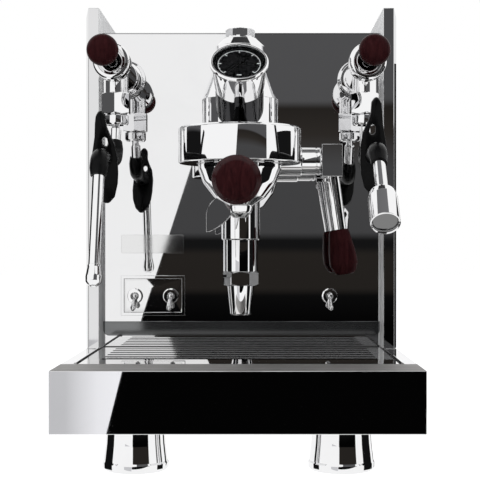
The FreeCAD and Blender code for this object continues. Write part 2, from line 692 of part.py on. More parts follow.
def discharge_nozzle():
    """Hexagon with a flat to the front, drawn out into a hollow tapered outlet."""
    body = new_body("discharge_nozzle")
    hexagon(body, "nut_flats", "nut_bottom", "nut_top")
    turn(body, [
        ("0", "nut_bottom + 1"), ("0", "nut_bottom - 3"), ("outlet_bore", "nut_bottom - 3"),
        ("outlet_bore", "nozzle_bottom"), ("nozzle_tip_radius - 1", "nozzle_bottom"),
        ("nozzle_tip_radius", "nozzle_bottom + 1"), ("nozzle_radius", "nut_bottom + 1")])
    return place(body, y=COLUMN_Y)


def lever_gland():
    """Packing nut on the end of the cam barrel."""
    body = new_body("lever_gland")
    turn(body, [
        ("shaft_radius + shaft_fit", "0"), ("gland_radius", "0"),
        ("gland_radius", "hub_start - gland_start - 2"),
        ("gland_radius - 2.5", "hub_start - gland_start - running_gap"),
        ("shaft_radius + shaft_fit", "hub_start - gland_start - running_gap")])
    return place(body, x="gland_start", y=COLUMN_Y, z="lever_height", axis=Y_AXIS, angle="90")


def brew_lever():
    """Hub on its cam shaft, with the splayed rod down to the grip."""
    body = new_body("brew_lever")
    half, top = "(hub_depth / 2)", "(hub_rise - hub_bevel)"
    hub = outline(body, "YZ_Plane", [
        ("-" + half, "-hub_drop"), (half, "-hub_drop"), (half, top),
        ("%s - hub_bevel" % half, "hub_rise"), ("hub_bevel - %s" % half, "hub_rise"),
        ("-" + half, top)], lift="hub_start")
    pad(body, hub, "hub_width")
    shaft = ring_outline(body, "YZ_Plane", [("0", "0", "shaft_radius")],
                         lift="cam_radius / 2 + 1")
    pad(body, shaft, "hub_start - cam_radius / 2 - 1")
    lean = "lever_splay"
    middle = "(hub_start + hub_width / 2 - 2.5)"
    inside, outside = "rod_radius", "(rod_radius - 0.8)"
    sketch = new_sketch(body, "XZ_Plane", "0")
    sketch.AttachmentOffset = FreeCAD.Placement(
        V(number(middle), 0, 0), FreeCAD.Rotation(Z_AXIS, number(lean)))
    bind(sketch, "AttachmentOffset.Base.x", middle)
    bind(sketch, "AttachmentOffset.Rotation.Angle", lean)
    fill_outline(sketch, [
        ("0", "-rod_root"), ("0", "-rod_end"), (outside, "-rod_end"), (outside, "3 - rod_end"),
        (inside, "-hub_drop - 4"), (inside, "-rod_root")])
    spin = body.newObject("PartDesign::Revolution", "rod_turn")
    spin.Profile = sketch
    spin.ReferenceAxis = (sketch, ["V_Axis"])
    spin.Angle = 360
    return place(body, y=COLUMN_Y, z="lever_height")


def fill_outline(sketch, corners):
    """Straight-sided closed outline in a sketch that is already placed."""
    spots = [V(number(across), number(up), 0) for across, up in corners]
    for index, spot in enumerate(spots):
        sketch.addGeometry(Part.LineSegment(spots[index - 1], spot), False)
    for index, (across, up) in enumerate(corners):
        following = (index + 1) % len(corners)
        sketch.addConstraint(Sketcher.Constraint("Coincident", index, 2, following, 1))
        fix_point(sketch, index, 2, across, up)


def brew_lever_grip():
    """Turned wooden grip, wider towards its rounded end."""
    body = new_body("brew_lever_grip")
    top = "(-rod_end)"
    low = "(%s - grip_length)" % top
    turn(body, [
        ("0", top), ("rod_radius + 0.6", top), ("rod_radius + 1.6", "%s - 2" % top),
        ("grip_radius", "%s + grip_radius * 0.9" % low, "left", "grip_length * 3"),
        ("grip_radius * 0.45", low, "right", "grip_radius * 0.95"), ("0", low)])
    middle = "(hub_start + hub_width / 2 - 2.5)"
    return place(body, x=middle, y=COLUMN_Y, z="lever_height", axis=Y_AXIS,
                 angle="-lever_splay")


# ---------------------------------------------------------------- portafilter

RIM = "(bell_bottom + lug_lip + lug_groove_height - 0.5)"


def spindle(body, corners, plane, across, up, angle):
    """A turned form whose axis leans in its sketch plane."""
    sketch = new_sketch(body, plane, "0")
    sketch.AttachmentOffset = FreeCAD.Placement(
        V(number(across), number(up), 0), FreeCAD.Rotation(Z_AXIS, number(angle)))
    for name, text in (("Base.x", across), ("Base.y", up), ("Rotation.Angle", angle)):
        if text != "0":
            bind(sketch, "AttachmentOffset." + name, text)
    fill_outline(sketch, corners)
    spin = body.newObject("PartDesign::Revolution", body.Name + "_spindle")
    spin.Profile = sketch
    spin.ReferenceAxis = (sketch, ["V_Axis"])
    spin.Angle = 360
    return spin


HANDLE_ROOT = "(handle_height + (handle_reach - group_reach) * tan(handle_droop))"
HANDLE_END = "((handle_reach - group_reach) / cos(handle_droop))"


def portafilter_head():
    """Bowl with a funnel floor, two bayonet ears and the rod towards the handle."""
    body = new_body("portafilter_head")
    hub = "bowl_bottom"
    cavity = "(bowl_radius - 2 * bowl_wall)"
    turn(body, [
        ("0", hub), ("7", hub), ("11.5", "%s + 5" % hub, "left", "5.2"),
        ("12", "%s + 11" % hub), ("22.5", "%s + 18" % hub), ("32.5", "%s + 31" % hub),
        ("bowl_radius", "%s + 43" % hub), ("bowl_radius", RIM), (cavity, RIM),
        (cavity, "%s + 34.5" % hub), ("outlet_bore", "%s + 17" % hub),
        ("outlet_bore", "%s + 8" % hub), ("0", "%s + 8" % hub)])
    outlet = ring_outline(body, "YZ_Plane", [("0", "%s + 11" % hub, "outlet_bore")])
    pocket(body, outlet, "bowl_radius / 2")
    for facing in ("0", "180"):
        ear = sector(body, "(bowl_radius - 1.5)", "ear_radius", facing, "ear_width",
                     "bell_bottom + lug_lip + 1")
        pad(body, ear, "ear_height")
    spindle(body, [
        ("0", "bowl_radius - bowl_wall"), ("neck_rod_radius", "bowl_radius - bowl_wall"),
        ("neck_rod_radius", "handle_start - 8"), ("neck_rod_radius + 3", "handle_start - 5"),
        ("neck_rod_radius + 3", "handle_start"), ("0", "handle_start")],
        "YZ_Plane", "0", HANDLE_ROOT, "90 + handle_droop")
    return place(body, y=GROUP_Y)


def portafilter_basket():
    """Thin cup whose lip rests on the bowl's rim."""
    body = new_body("portafilter_basket")
    floor = "(%s - basket_depth)" % RIM
    turn(body, [
        ("0", floor), ("basket_radius - 1", floor), ("basket_radius", RIM), ("basket_lip", RIM),
        ("basket_lip", "%s + 0.8" % RIM), ("basket_radius - 0.8", "%s + 0.8" % RIM),
        ("basket_radius - 1.8", "%s + 0.8" % floor), ("0", "%s + 0.8" % floor)])
    return place(body, y=GROUP_Y)


def portafilter_spout(head):
    """Curved trough under the bowl that pours to the left."""
    blank = doc.addObject("PartDesign::Body", "spout_blank")
    wall = "1.3"
    shell = outline(blank, "XZ_Plane", [
        ("0", "bowl_bottom + 20"), ("-15", "bowl_bottom + 20"),
        ("-spout_reach", "bowl_bottom + 2", "left", "20"), ("-spout_reach", "spout_bottom"),
        ("-spout_reach + 2", "spout_bottom"), ("-8", "bowl_bottom + 2", "left", "44"),
        ("0", "bowl_bottom + 2")])
    pad(blank, shell, "spout_width", both_ways=True)
    inside = outline(blank, "XZ_Plane", [
        ("-9", "bowl_bottom + 18"), ("-15", "bowl_bottom + 18"),
        ("-spout_reach + %s" % wall, "bowl_bottom + 2", "left", "18.5"),
        ("-spout_reach + %s" % wall, "spout_bottom - 1"), ("-9", "spout_bottom - 1")])
    pocket(blank, inside, "spout_width - 2 * %s" % wall, both_ways=True)
    place(blank, y=GROUP_Y)
    cut = doc.addObject("Part::Cut", "portafilter_spout")
    cut.Base = blank
    cut.Tool = head
    cut.Label = "portafilter_spout"
    nodes.append(cut)
    return cut


def portafilter_handle():
    """Turned wooden handle with a domed end."""
    body = new_body("portafilter_handle")
    end = HANDLE_END
    turn(body, [
        ("0", "handle_start"), ("neck_rod_radius + 3.6", "handle_start"),
        ("handle_radius - 5", "handle_start + 26"),
        ("handle_radius", "%s - handle_dome" % end),
        ("0", end, "left", "(handle_radius ^ 2 + handle_dome ^ 2) / (2 * handle_dome)")])
    return place(body, y=GROUP_Y, z=HANDLE_ROOT, axis=X_AXIS, angle="90 + handle_droop")


# ---------------------------------------------------------------- valves

def valve_place(body, side):
    """On the valve's own axis, which runs forward from the front panel."""
    return place(body, x="(%s) * valve_spread" % side, y=PANEL, z="valve_height",
                 axis=X_AXIS, angle="90")


def valve_body(side, label):
    """Bonnet, barrel and wall flange, with the outlet boss pointing down."""
    body = new_body(label)
    cavity = "(bonnet_radius - 3.9)"
    turn(body, [
        ("0", "0"), ("valve_neck_radius + 6", "0"), ("valve_neck_radius + 6", "4"),
        ("valve_neck_radius + 3", "7"), ("valve_neck_radius", "7"),
        ("valve_neck_radius", "outlet_reach + outlet_radius + 2"),
        ("bonnet_radius", "outlet_reach + outlet_radius + 10"),
        ("bonnet_radius", "valve_reach - 1.5"), ("bonnet_radius - 1.5", "valve_reach"),
        ("stick_radius + 5.6", "valve_reach"), ("stick_radius + 5.6", "valve_reach - 3"),
        (cavity, "valve_reach - 3"), (cavity, "stick_pivot - 9"), ("0", "stick_pivot - 9")])
    outlet = ring_outline(body, "XZ_Plane", [("0", "outlet_reach", "outlet_radius")])
    pad(body, outlet, "valve_height - joint_nut_top")
    return valve_place(body, side)


def joystick_seat(side, label):
    """Ring that swings sideways in the bonnet and carries the stick's ball."""
    body = new_body(label)
    turn(body, [
        ("pivot_ball + running_gap", "stick_pivot - 4"), ("bonnet_radius - 4.8", "stick_pivot - 4"),
        ("bonnet_radius - 4.8", "stick_pivot + 4"), ("pivot_ball + running_gap", "stick_pivot + 4")])
    return valve_place(body, side)


def joystick(side, label):
    """Straight stick with the ball it tips on."""
    body = new_body(label)
    join = "sqrt(pivot_ball ^ 2 - stick_radius ^ 2)"
    turn(body, [
        ("0", "stick_pivot - pivot_ball"),
        ("stick_radius", "stick_pivot + %s" % join, "left", "pivot_ball"),
        ("stick_radius", "stick_reach - knob_radius + 1"),
        ("0", "stick_reach - knob_radius + 1")])
    return valve_place(body, side)


def joystick_knob(side, label):
    """Wooden ball, drilled for the stick."""
    body = new_body(label)
    bottom = "(stick_reach - sqrt(knob_radius ^ 2 - stick_radius ^ 2))"
    turn(body, [
        ("stick_radius", bottom), ("0", "stick_reach + knob_radius", "left", "knob_radius"),
        ("0", "stick_reach - knob_radius + 1"), ("stick_radius", "stick_reach - knob_radius + 1")])
    return valve_place(body, side)


def joint_place(body, side, angle="0"):
    """At the centre of a wand's ball joint."""
    return place(body, x="(%s) * valve_spread" % side, y=ahead("outlet_reach"), z="joint_height",
                 axis=X_AXIS, angle=angle)


CUP_TOP = "(joint_ball + running_gap + cup_roof)"


def joint_nut(side, label):
    """Hexagon nut under the valve, bored from below for the cup's spigot."""
    body = new_body(label)
    low, high = "(joint_nut_bottom - joint_height)", "(joint_nut_top - joint_height)"
    hexagon(body, "joint_nut_flats", low, high)
    hole = ring_outline(body, "XY_Plane", [("0", "0", "cup_spigot + running_gap")], lift=low)
    pocket(body, hole, "%s + 2 * running_gap - %s" % (CUP_TOP, low), backwards=True)
    return joint_place(body, side)


def joint_cup(side, label):
    """Swivelling cup that holds the wand's ball, with a spigot up into the nut."""
    body = new_body(label)
    low, step = "(cup_bottom - joint_height)", "(joint_nut_bottom - joint_height - running_gap)"
    bore = "(joint_ball + running_gap)"
    turn(body, [
        ("cup_mouth", low), ("cup_radius - 0.8", low), ("cup_radius", "%s + 1.2" % low),
        ("cup_radius", step), ("cup_spigot", step), ("cup_spigot", CUP_TOP), ("0", CUP_TOP),
        ("0", bore), (bore, bore), (bore, "-joint_ball * 0.23"),
        ("joint_ball - running_gap", "-joint_ball * 0.385")])
    return joint_place(body, side)


# ---------------------------------------------------------------- wands

def bent_path(body, start, legs):
    """A run that heads down from a start height.  Each leg is (turn, radius, length), and a
    positive turn bends it forward.  Returns the sketch."""
    sketch = new_sketch(body, "YZ_Plane", "0")
    spot, heading, last = V(0, number(start), 0), 0.0, None
    for turning, radius, length in legs:
        if turning != "0":
            angle, bend = math.radians(number(turning)), number(radius)
            side = 1 if angle > 0 else -1
            inward = V(-math.cos(heading), math.sin(heading), 0) * side
            centre = spot + inward * bend
            heading += angle
            outward = V(math.cos(heading), -math.sin(heading), 0) * side
            stop = centre + outward * bend
            first, final = (stop, spot) if side > 0 else (spot, stop)
            ends = [math.atan2(point.y - centre.y, point.x - centre.x) for point in (first, final)]
            arc = sketch.addGeometry(
                Part.ArcOfCircle(Part.Circle(centre, Z_AXIS, bend), *ends), False)
            near, far = (2, 1) if side > 0 else (1, 2)
            sketch.addConstraint(Sketcher.Constraint("Tangent", last, 2, arc, near))
            rule = sketch.addConstraint(Sketcher.Constraint("Radius", arc, bend))
            bind(sketch, "Constraints[%d]" % rule, radius)
            rule = sketch.addConstraint(Sketcher.Constraint("Angle", arc, abs(angle)))
            bind(sketch, "Constraints[%d]" % rule, "abs(%s) * 1 deg" % turning)
            spot = stop
        run = spot + V(-math.sin(heading), -math.cos(heading), 0) * number(length)
        line = sketch.addGeometry(Part.LineSegment(spot, run), False)
        if last is None:
            fix_point(sketch, line, 1, "0", start)
            sketch.addConstraint(Sketcher.Constraint("Vertical", line))
        else:
            sketch.addConstraint(Sketcher.Constraint("Tangent", arc, far, line, 1))
        rule = sketch.addConstraint(Sketcher.Constraint("Distance", line, number(length)))
        bind(sketch, "Constraints[%d]" % rule, length)
        spot, last = run, line
    return sketch


def run_end(start, legs):
    """Where a bent run ends: back, up and the angle it has turned forward."""
    back, up, heading = 0.0, number(start), 0.0
    for turning, radius, length in legs:
        angle, bend = math.radians(number(turning)), number(radius)
        side = 1 if angle > 0 else -1
        back += side * bend * (math.cos(heading + angle) - math.cos(heading))
        up += side * bend * (math.sin(heading) - math.sin(heading + angle)) if angle else 0
        heading += angle
        back -= number(length) * math.sin(heading)
        up -= number(length) * math.cos(heading)
    return back, up, math.degrees(heading)


def pipe(body, path, radius, lift, kind="PartDesign::AdditivePipe"):
    """A round tube along a path that starts straight down at a height."""
    section = ring_outline(body, "XY_Plane", [("0", "0", radius)], lift=lift)
    feature = body.newObject(kind, body.Name + "_pipe")
    feature.Profile = section
    feature.Spine = path
    return feature


FIRST_TANGENT = "(wand_bend * tan(wand_turn / 2))"


def last_tangent(kind):
    """How far the second bend of a wand reaches along each of its straight runs."""
    return "(wand_bend * tan(%s_turn / 2))" % kind


def middle_run(kind):
    """The straight run between a wand's two bends, with the bend into it."""
    return ("wand_turn", "wand_bend",
            "%s_run - %s - %s" % (kind, FIRST_TANGENT, last_tangent(kind)))


def wand_legs(kind):
    """The three straight runs of a wand and the two bends between them."""
    return [("0", "wand_bend", "%s_drop - tube_start - %s" % (kind, FIRST_TANGENT)),
            middle_run(kind),
            ("-%s_turn" % kind, "wand_bend", "%s_fall - %s" % (kind, last_tangent(kind)))]


def wand(kind, side, lean):
    """Tube with two bends under its joint ball."""
    body = new_body(kind + "_wand")
    join = "sqrt(joint_ball ^ 2 - tube_neck ^ 2)"
    turn(body, [
        ("0", "-tube_start - 3"), ("tube_radius", "-tube_start - 3"),
        ("tube_radius", "-tube_start"), ("tube_neck", "2 - tube_start"),
        ("tube_neck", "-" + join), ("0", "joint_ball", "left", "joint_ball")])
    path = bent_path(body, "-tube_start", wand_legs(kind))
    pipe(body, path, "tube_radius", "-tube_start")
    return joint_place(body, side, "-(%s)" % lean)


def wand_grip(kind, side, lean):
    """Rubber sleeve over the bends, with a leaf-shaped finger tab across it."""
    body = new_body(kind + "_wand_grip")
    start = "(%s + sleeve_lead - %s_drop)" % (FIRST_TANGENT, kind)
    turning = "-%s_turn" % kind
    legs = [("0", "wand_bend", "sleeve_lead"), middle_run(kind),
            (turning, "wand_bend", kind + "_tail")]
    pipe(body, bent_path(body, start, legs), "sleeve_radius", start)
    leaf = new_sketch(body, "XZ_Plane", "0")
    spot = V(0, -number("paddle_drop"), number("paddle_fore"))
    leaf.AttachmentOffset = FreeCAD.Placement(spot, FreeCAD.Rotation(X_AXIS, number("paddle_lean")))
    bind(leaf, "AttachmentOffset.Base.y", "-paddle_drop")
    bind(leaf, "AttachmentOffset.Base.z", "paddle_fore")
    bind(leaf, "AttachmentOffset.Rotation.Angle", "paddle_lean")
    draw_leaf(leaf)
    pad(body, leaf, "paddle_thick", both_ways=True)
    inner = "(tube_radius + shaft_fit)"
    above = "(%s + 4)" % start
    clear = [("0", "wand_bend", "sleeve_lead + 4"), middle_run(kind),
             (turning, "wand_bend", kind + "_tail + 5")]
    pipe(body, bent_path(body, above, clear), inner, above, "PartDesign::SubtractivePipe")
    return joint_place(body, side, "-(%s)" % lean)


def draw_leaf(sketch):
    """A long leaf: a narrow rounded top and a broad round lobe below."""
    half, top, lobe = "paddle_length / 2", "4.5", "paddle_width / 2"
    fill_outline(sketch, [
        ("-" + top, "%s - 5" % half), ("-2.6", "%s - 0.8" % half), ("0", half),
        ("2.6", "%s - 0.8" % half), (top, "%s - 5" % half), (top, "%s * 0.45" % half),
        ("%s * 0.85" % lobe, "-%s * 0.1" % half), (lobe, "-%s * 0.42" % half),
        ("%s * 0.87" % lobe, "-%s * 0.74" % half), ("%s * 0.5" % lobe, "-%s * 0.94" % half),
        ("0", "-" + half), ("-%s * 0.5" % lobe, "-%s * 0.94" % half),
        ("-%s * 0.87" % lobe, "-%s * 0.74" % half), ("-" + lobe, "-%s * 0.42" % half),
        ("-%s * 0.85" % lobe, "-%s * 0.1" % half), ("-" + top, "%s * 0.45" % half)])


def wand_end(label, kind, side, lean, corners):
    """A turned fitting on the end of a wand."""
    body = new_body(label)
    turn(body, corners)
    back, up, heading = run_end("-tube_start", wand_legs(kind))
    total = math.radians(number(lean) + heading)
    tilt = FreeCAD.Rotation(X_AXIS, -number(lean))
    reach = tilt.multVec(V(0, back, up))
    spot = V(number("(%s) * valve_spread" % side), number(ahead("outlet_reach")),
             number("joint_height")) + reach
    body.Placement = FreeCAD.Placement(spot, FreeCAD.Rotation(X_AXIS, -math.degrees(total)))
    return body


def steam_tip():
    """Bulb nozzle, drilled up its middle."""
    return wand_end("steam_tip", "steam", "-1", "wand_lean", [
        ("2", "0"), ("2", "-tip_length + 1"), ("3", "-tip_length"),
        ("tip_radius - 1.6", "-tip_length + 1.5", "left", "6"),
        ("tip_radius", "-tip_length * 0.55", "left", "14"), ("tube_radius + 0.6", "-2"),
        ("tube_radius + 0.6", "0")])


def water_head():
    """Domed diffuser, open below."""
    return wand_end("water_head", "water", "1", WATER_LEAN, [
        ("0", "0"), ("0", "-3"), ("head_radius - 4", "-6"), ("head_radius - 2", "-12"),
        ("head_radius - 1.6", "-head_length"), ("head_radius", "-head_length"),
        ("head_radius", "-10"), ("tube_radius + 2.5", "-1.5", "left", "head_radius"),
        ("tube_radius + 0.6", "0")])


WATER_LEAN = "(wand_lean + water_swing)"


# ---------------------------------------------------------------- controls

def switch_plate():
    """Framed plate behind the two left switches."""
    body = new_body("switch_plate")
    side, tall = "plate_width / 2", "plate_height / 2"
    face = box_outline(body, "XZ_Plane", "-" + side, side, "-" + tall, tall)
    pad(body, face, "plate_thick")
    well = box_outline(body, "XZ_Plane", "-%s + 3" % side, "%s - 3" % side, "-%s + 3" % tall,
                       "%s - 3" % tall, lift="plate_thick")
    pocket(body, well, "plate_thick / 2")
    holes = ring_outline(body, "XZ_Plane", [
        ("-toggle_spread", "toggle_height - plate_middle", "toggle_radius - 1.5"),
        ("toggle_spread", "toggle_height - plate_middle", "toggle_radius - 1.5")])
    pocket(body, holes, "plate_thick", backwards=True)
    return place(body, x="-plate_centre", y=PANEL, z="plate_middle")


def toggle_spots():
    """Where the switches stand: across, and how far ahead of the panel."""
    return {"power_toggle": ("(-plate_centre - toggle_spread)", "plate_thick / 2"),
            "pump_toggle": ("(-plate_centre + toggle_spread)", "plate_thick / 2"),
            "heater_toggle": ("toggle_right", "0")}


def toggle_nuts():
    """The three threaded bushes that the switches stand in."""
    body = new_body("toggle_nuts")
    body.AllowCompound = True
    for across, stand in toggle_spots().values():
        rings = [(across, "toggle_height", "toggle_radius"), (across, "toggle_height", "4.2")]
        tube = ring_outline(body, "XZ_Plane", rings, lift="-(%s)" % ahead(stand))
        pad(body, tube, "bush_length")
    return body


def toggle(label):
    """Bat lever on a ball in its bush, hanging down."""
    across, stand = toggle_spots()[label]
    body = new_body(label)
    turn(body, [
        ("0", "-3.8"), ("1.8", "3.35", "left", "3.8"), ("1.8", "8"),
        ("bat_radius", "bat_length - 4"), ("bat_radius * 0.5", "bat_length - 0.6"),
        ("0", "bat_length")])
    return place(body, x=across, y=ahead("%s + bush_length - 1" % stand), z="toggle_height",
                 axis=X_AXIS, angle="90 + bat_droop")


# ---------------------------------------------------------------- inside

def boiler():
    """Heat-exchange boiler with bolted end flanges, lying across the machine."""
    body = new_body("boiler")
    half, rim = "boiler_length / 2", "(boiler_radius + 6)"
    turn(body, [
        ("0", "-%s" % half), (rim, "-%s" % half), (rim, "-%s + 8" % half),
        ("boiler_radius", "-%s + 8" % half), ("boiler_radius", "%s - 8" % half),
        (rim, "%s - 8" % half), (rim, half), ("0", half)])
    return place(body, y=ahead("-boiler_back"), z="boiler_height", axis=Y_AXIS, angle="90")


def inner_frame():
    """Saddle plates under the boiler, joined by the tank's shelf, and the top trays' ledges."""
    body = new_body("inner_frame")
    body.AllowCompound = True
    floor = "(foot_height + sheet_wall)"
    near = ahead("-boiler_back + boiler_radius * 0.8")
    far = ahead("-boiler_back - boiler_radius * 0.8")
    front = ahead("sheet_wall - rear_reach + tank_depth")
    spread = "boiler_length / 2 - 25"
    for side in ("-1", "1"):
        plate = outline(body, "YZ_Plane", [
            (near, floor), (front, floor), (front, "tank_bottom - sheet_wall"),
            (far, "tank_bottom - sheet_wall"), (far, "boiler_height - 20"),
            (near, "boiler_height - 20")], lift="(%s) * (%s)" % (side, spread))
        pad(body, plate, "sheet_wall", both_ways=True)
    shelf = box_outline(body, "XY_Plane", "-(%s)" % INNER, INNER, "%s - 10" % front,
                        ahead("-rear_reach + sheet_wall"), lift="tank_bottom - sheet_wall")
    pad(body, shelf, "sheet_wall")
    saddle = ring_outline(body, "YZ_Plane", [(ahead("-boiler_back"), "boiler_height",
                                              "boiler_radius")])
    pocket(body, saddle, "boiler_length", both_ways=True)
    for side in ("-1", "1"):
        ledge = box_outline(body, "XZ_Plane", "(%s) * (%s - tray_ledge)" % (side, INNER),
                            "(%s) * %s" % (side, INNER), "%s - sheet_wall" % SHELF, SHELF,
                            lift="-(%s)" % ahead("sheet_wall - rear_reach"))
        pad(body, ledge, "rear_reach - 2 * sheet_wall")
    return body


def pump():
    """Rotary pump: round motor and pump head on a mounting foot."""
    body = new_body("pump")
    turn(body, [
        ("0", "0"), ("pump_radius * 0.7", "0"), ("pump_radius * 0.7", "34"),
        ("pump_radius", "36"), ("pump_radius", "pump_length - 4"),
        ("pump_radius - 4", "pump_length"), ("0", "pump_length")])
    foot = box_outline(body, "XY_Plane", "-pump_radius * 0.8", "pump_radius * 0.8",
                       "-pump_radius - 2", "-pump_radius * 0.4", lift="45")
    pad(body, foot, "pump_length - 60")
    return place(body, x="boiler_length / 2 + 12", y=ahead("-28 - pump_length"),
                 z="foot_height + sheet_wall + pump_radius + 2", axis=X_AXIS, angle="90")


def feed_pipes(tank):
    """Copper pipes from the boiler to the group and the two valves."""
    radius = number("pipe_radius")
    face, back = number(PANEL), number(ahead("-boiler_back"))
    across, high, middle = number("valve_spread"), number("valve_height"), number("boiler_height")
    flange = number("boiler_length / 2")
    bend = 3 * radius
    tubes = []
    for side in (-1, 1):
        stops = [V(side * across, face, high), V(side * across, back, high),
                 V(side * across, back, middle), V(side * flange, back, middle)]
        tubes.append(pipe_along(stops, bend, radius))
    rise = number("neck_height") - 10
    for side in (-1, 1):
        tubes.append(Part.makeCylinder(radius, back - face, V(side * 11, face, rise), Y_AXIS))
    loose = doc.addObject("Part::Feature", "pipe_run")
    loose.Shape = Part.makeCompound(tubes)
    cut = doc.addObject("Part::Cut", "feed_pipes")
    cut.Base = loose
    cut.Tool = tank
    cut.Label = "feed_pipes"
    nodes.append(cut)
    return cut


def pipe_along(stops, bend, radius):
    """Round pipe through points, with a tangent arc at each inner one."""
    edges, spot = [], stops[0]
    for before, corner, after in zip(stops, stops[1:], stops[2:]):
        arrive, leave = (before - corner).normalize(), (after - corner).normalize()
        half = arrive.getAngle(leave) / 2
        cut = min(bend / math.tan(half), (after - corner).Length * 0.9)
        round_radius = cut * math.tan(half)
        near, far = corner + arrive * cut, corner + leave * cut
        centre = corner + (arrive + leave).normalize() * (round_radius / math.sin(half))
        middle = centre + (corner - centre).normalize() * round_radius
        edges += [Part.LineSegment(spot, near).toShape(), Part.Arc(near, middle, far).toShape()]
        spot = far
    edges.append(Part.LineSegment(spot, stops[-1]).toShape())
    path = Part.Wire(edges)
    ring = Part.Wire(Part.makeCircle(radius, stops[0], stops[1] - stops[0]))
    return path.makePipeShell([ring], True, True)


def water_tank():
    """Open tank with thin walls that stands on the shelf and lifts out."""
    body = new_body("water_tank")
    side = "tank_width / 2"
    near = ahead("-tank_back + tank_depth / 2")
    far = ahead("-tank_back - tank_depth / 2")
    block = box_outline(body, "XY_Plane", "-" + side, side, near, far,
                        lift="tank_bottom + running_gap")
    pad(body, block, "tank_top - tank_bottom")
    inside = box_outline(body, "XY_Plane", "-%s + tank_wall" % side, "%s - tank_wall" % side,
                         "%s + tank_wall" % near, "%s - tank_wall" % far,
                         lift="tank_top + running_gap")
    pocket(body, inside, "tank_top - tank_bottom - tank_wall")
    return body


def mains_inlet():
    """Appliance socket let into the back of the base."""
    body = new_body("mains_inlet")
    back = "-(%s)" % ahead("-rear_reach")
    shell = box_outline(body, "XZ_Plane", "-inlet_width / 2", "inlet_width / 2",
                        "-inlet_height / 2", "inlet_height / 2", lift=back)
    pad(body, shell, "inlet_depth")
    well = box_outline(body, "XZ_Plane", "-inlet_width / 2 + 3", "inlet_width / 2 - 3",
                       "-inlet_height / 2 + 3", "inlet_height / 2 - 3", lift=back)
    pocket(body, well, "inlet_depth - 3", backwards=True)
    return place(body, x="inlet_across", z="inlet_up")


# ---------------------------------------------------------------- the machine

def build():
    """Every piece, from the casing outwards."""
    base_chassis()
    side_panel("-1", "left_side_panel")
    side_panel("1", "right_side_panel")
    front_panel()
    splash_strip()
    rear_panel()
    split = "sheet_wall + cup_tray_depth"
    top_tray("cup_tray", ahead("-sheet_wall"), ahead("-(%s)" % split), False)
    top_tray("tank_lid", ahead("-(%s + running_gap)" % split),
             ahead("-rear_reach + sheet_wall + running_gap"), True)
    feet()
    drawer_front()
    drip_tray()
    drip_grille()
    group_body()
    group_bell()
    roof = "(bell_bottom + lug_lip + lug_groove_height)"
    group_ring("group_gasket", "gasket_inner", "gasket_radius", "%s + 1" % roof, "%s + 6" % roof)
    group_ring("shower_screen", "0", "screen_radius", "%s + 1.2" % roof, "%s + 6" % roof)
    group_top_nut()
    gauge_housing()
    gauge_bezel()
    floor = "(2 - gauge_cup_depth)"
    gauge_disc("gauge_dial", floor, "%s + dial_thick" % floor, "bezel_radius - 2.3 - gauge_wall",
               "pivot_radius + shaft_fit")
    gauge_disc("gauge_glass", "-glass_thick", "0", "bezel_radius - 2.2 - gauge_wall")
    gauge_needle()
    infusion_column()
    discharge_nozzle()
    lever_gland()
    brew_lever()
    brew_lever_grip()
    head = portafilter_head()
    portafilter_basket()
    portafilter_spout(head)
    portafilter_handle()
    for side, name in (("-1", "left"), ("1", "right")):
        valve_body(side, name + "_valve_body")
        joystick_seat(side, name + "_joystick_seat")
        joystick(side, name + "_joystick")
        joystick_knob(side, name + "_joystick_knob")
        joint_nut(side, name + "_joint_nut")
    for kind, side, lean in (("steam", "-1", "wand_lean"), ("water", "1", WATER_LEAN)):
        joint_cup(side, kind + "_joint_cup")
        wand(kind, side, lean)
        wand_grip(kind, side, lean)
    steam_tip()
    water_head()
    switch_plate()
    toggle_nuts()
    for label in toggle_spots():
        toggle(label)
    tank = boiler()
    inner_frame()
    pump()
    feed_pipes(tank)
    water_tank()
    mains_inlet()


def check():
    """Stop unless every object and every piece is sound."""
    doc.recompute()
    broken = [thing.Name for thing in doc.Objects
              if "Invalid" in thing.State or "Error" in thing.State]
    for node in nodes:
        if node.Shape.isNull() or not node.Shape.isValid() or not node.Shape.Solids:
            broken.append(node.Label)
    if broken:
        raise RuntimeError("not sound: " + ", ".join(broken))


def write():
    """One STEP file for each piece."""
    os.makedirs("parts", exist_ok=True)
    for node in nodes:
        node.Shape.exportStep("parts/%s.step" % node.Label)
    print("%d pieces written" % len(nodes))


build()
check()
write()
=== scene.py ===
"""Looks of a lever-group espresso machine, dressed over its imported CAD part.

The frame is the part's own: X to the machine's right, Y to its back, Z up.  Shapes are drawn
in millimetres and become metres as each mesh is finished.
"""

import json
import math

import bmesh
import bpy
from mathutils import Matrix, Vector

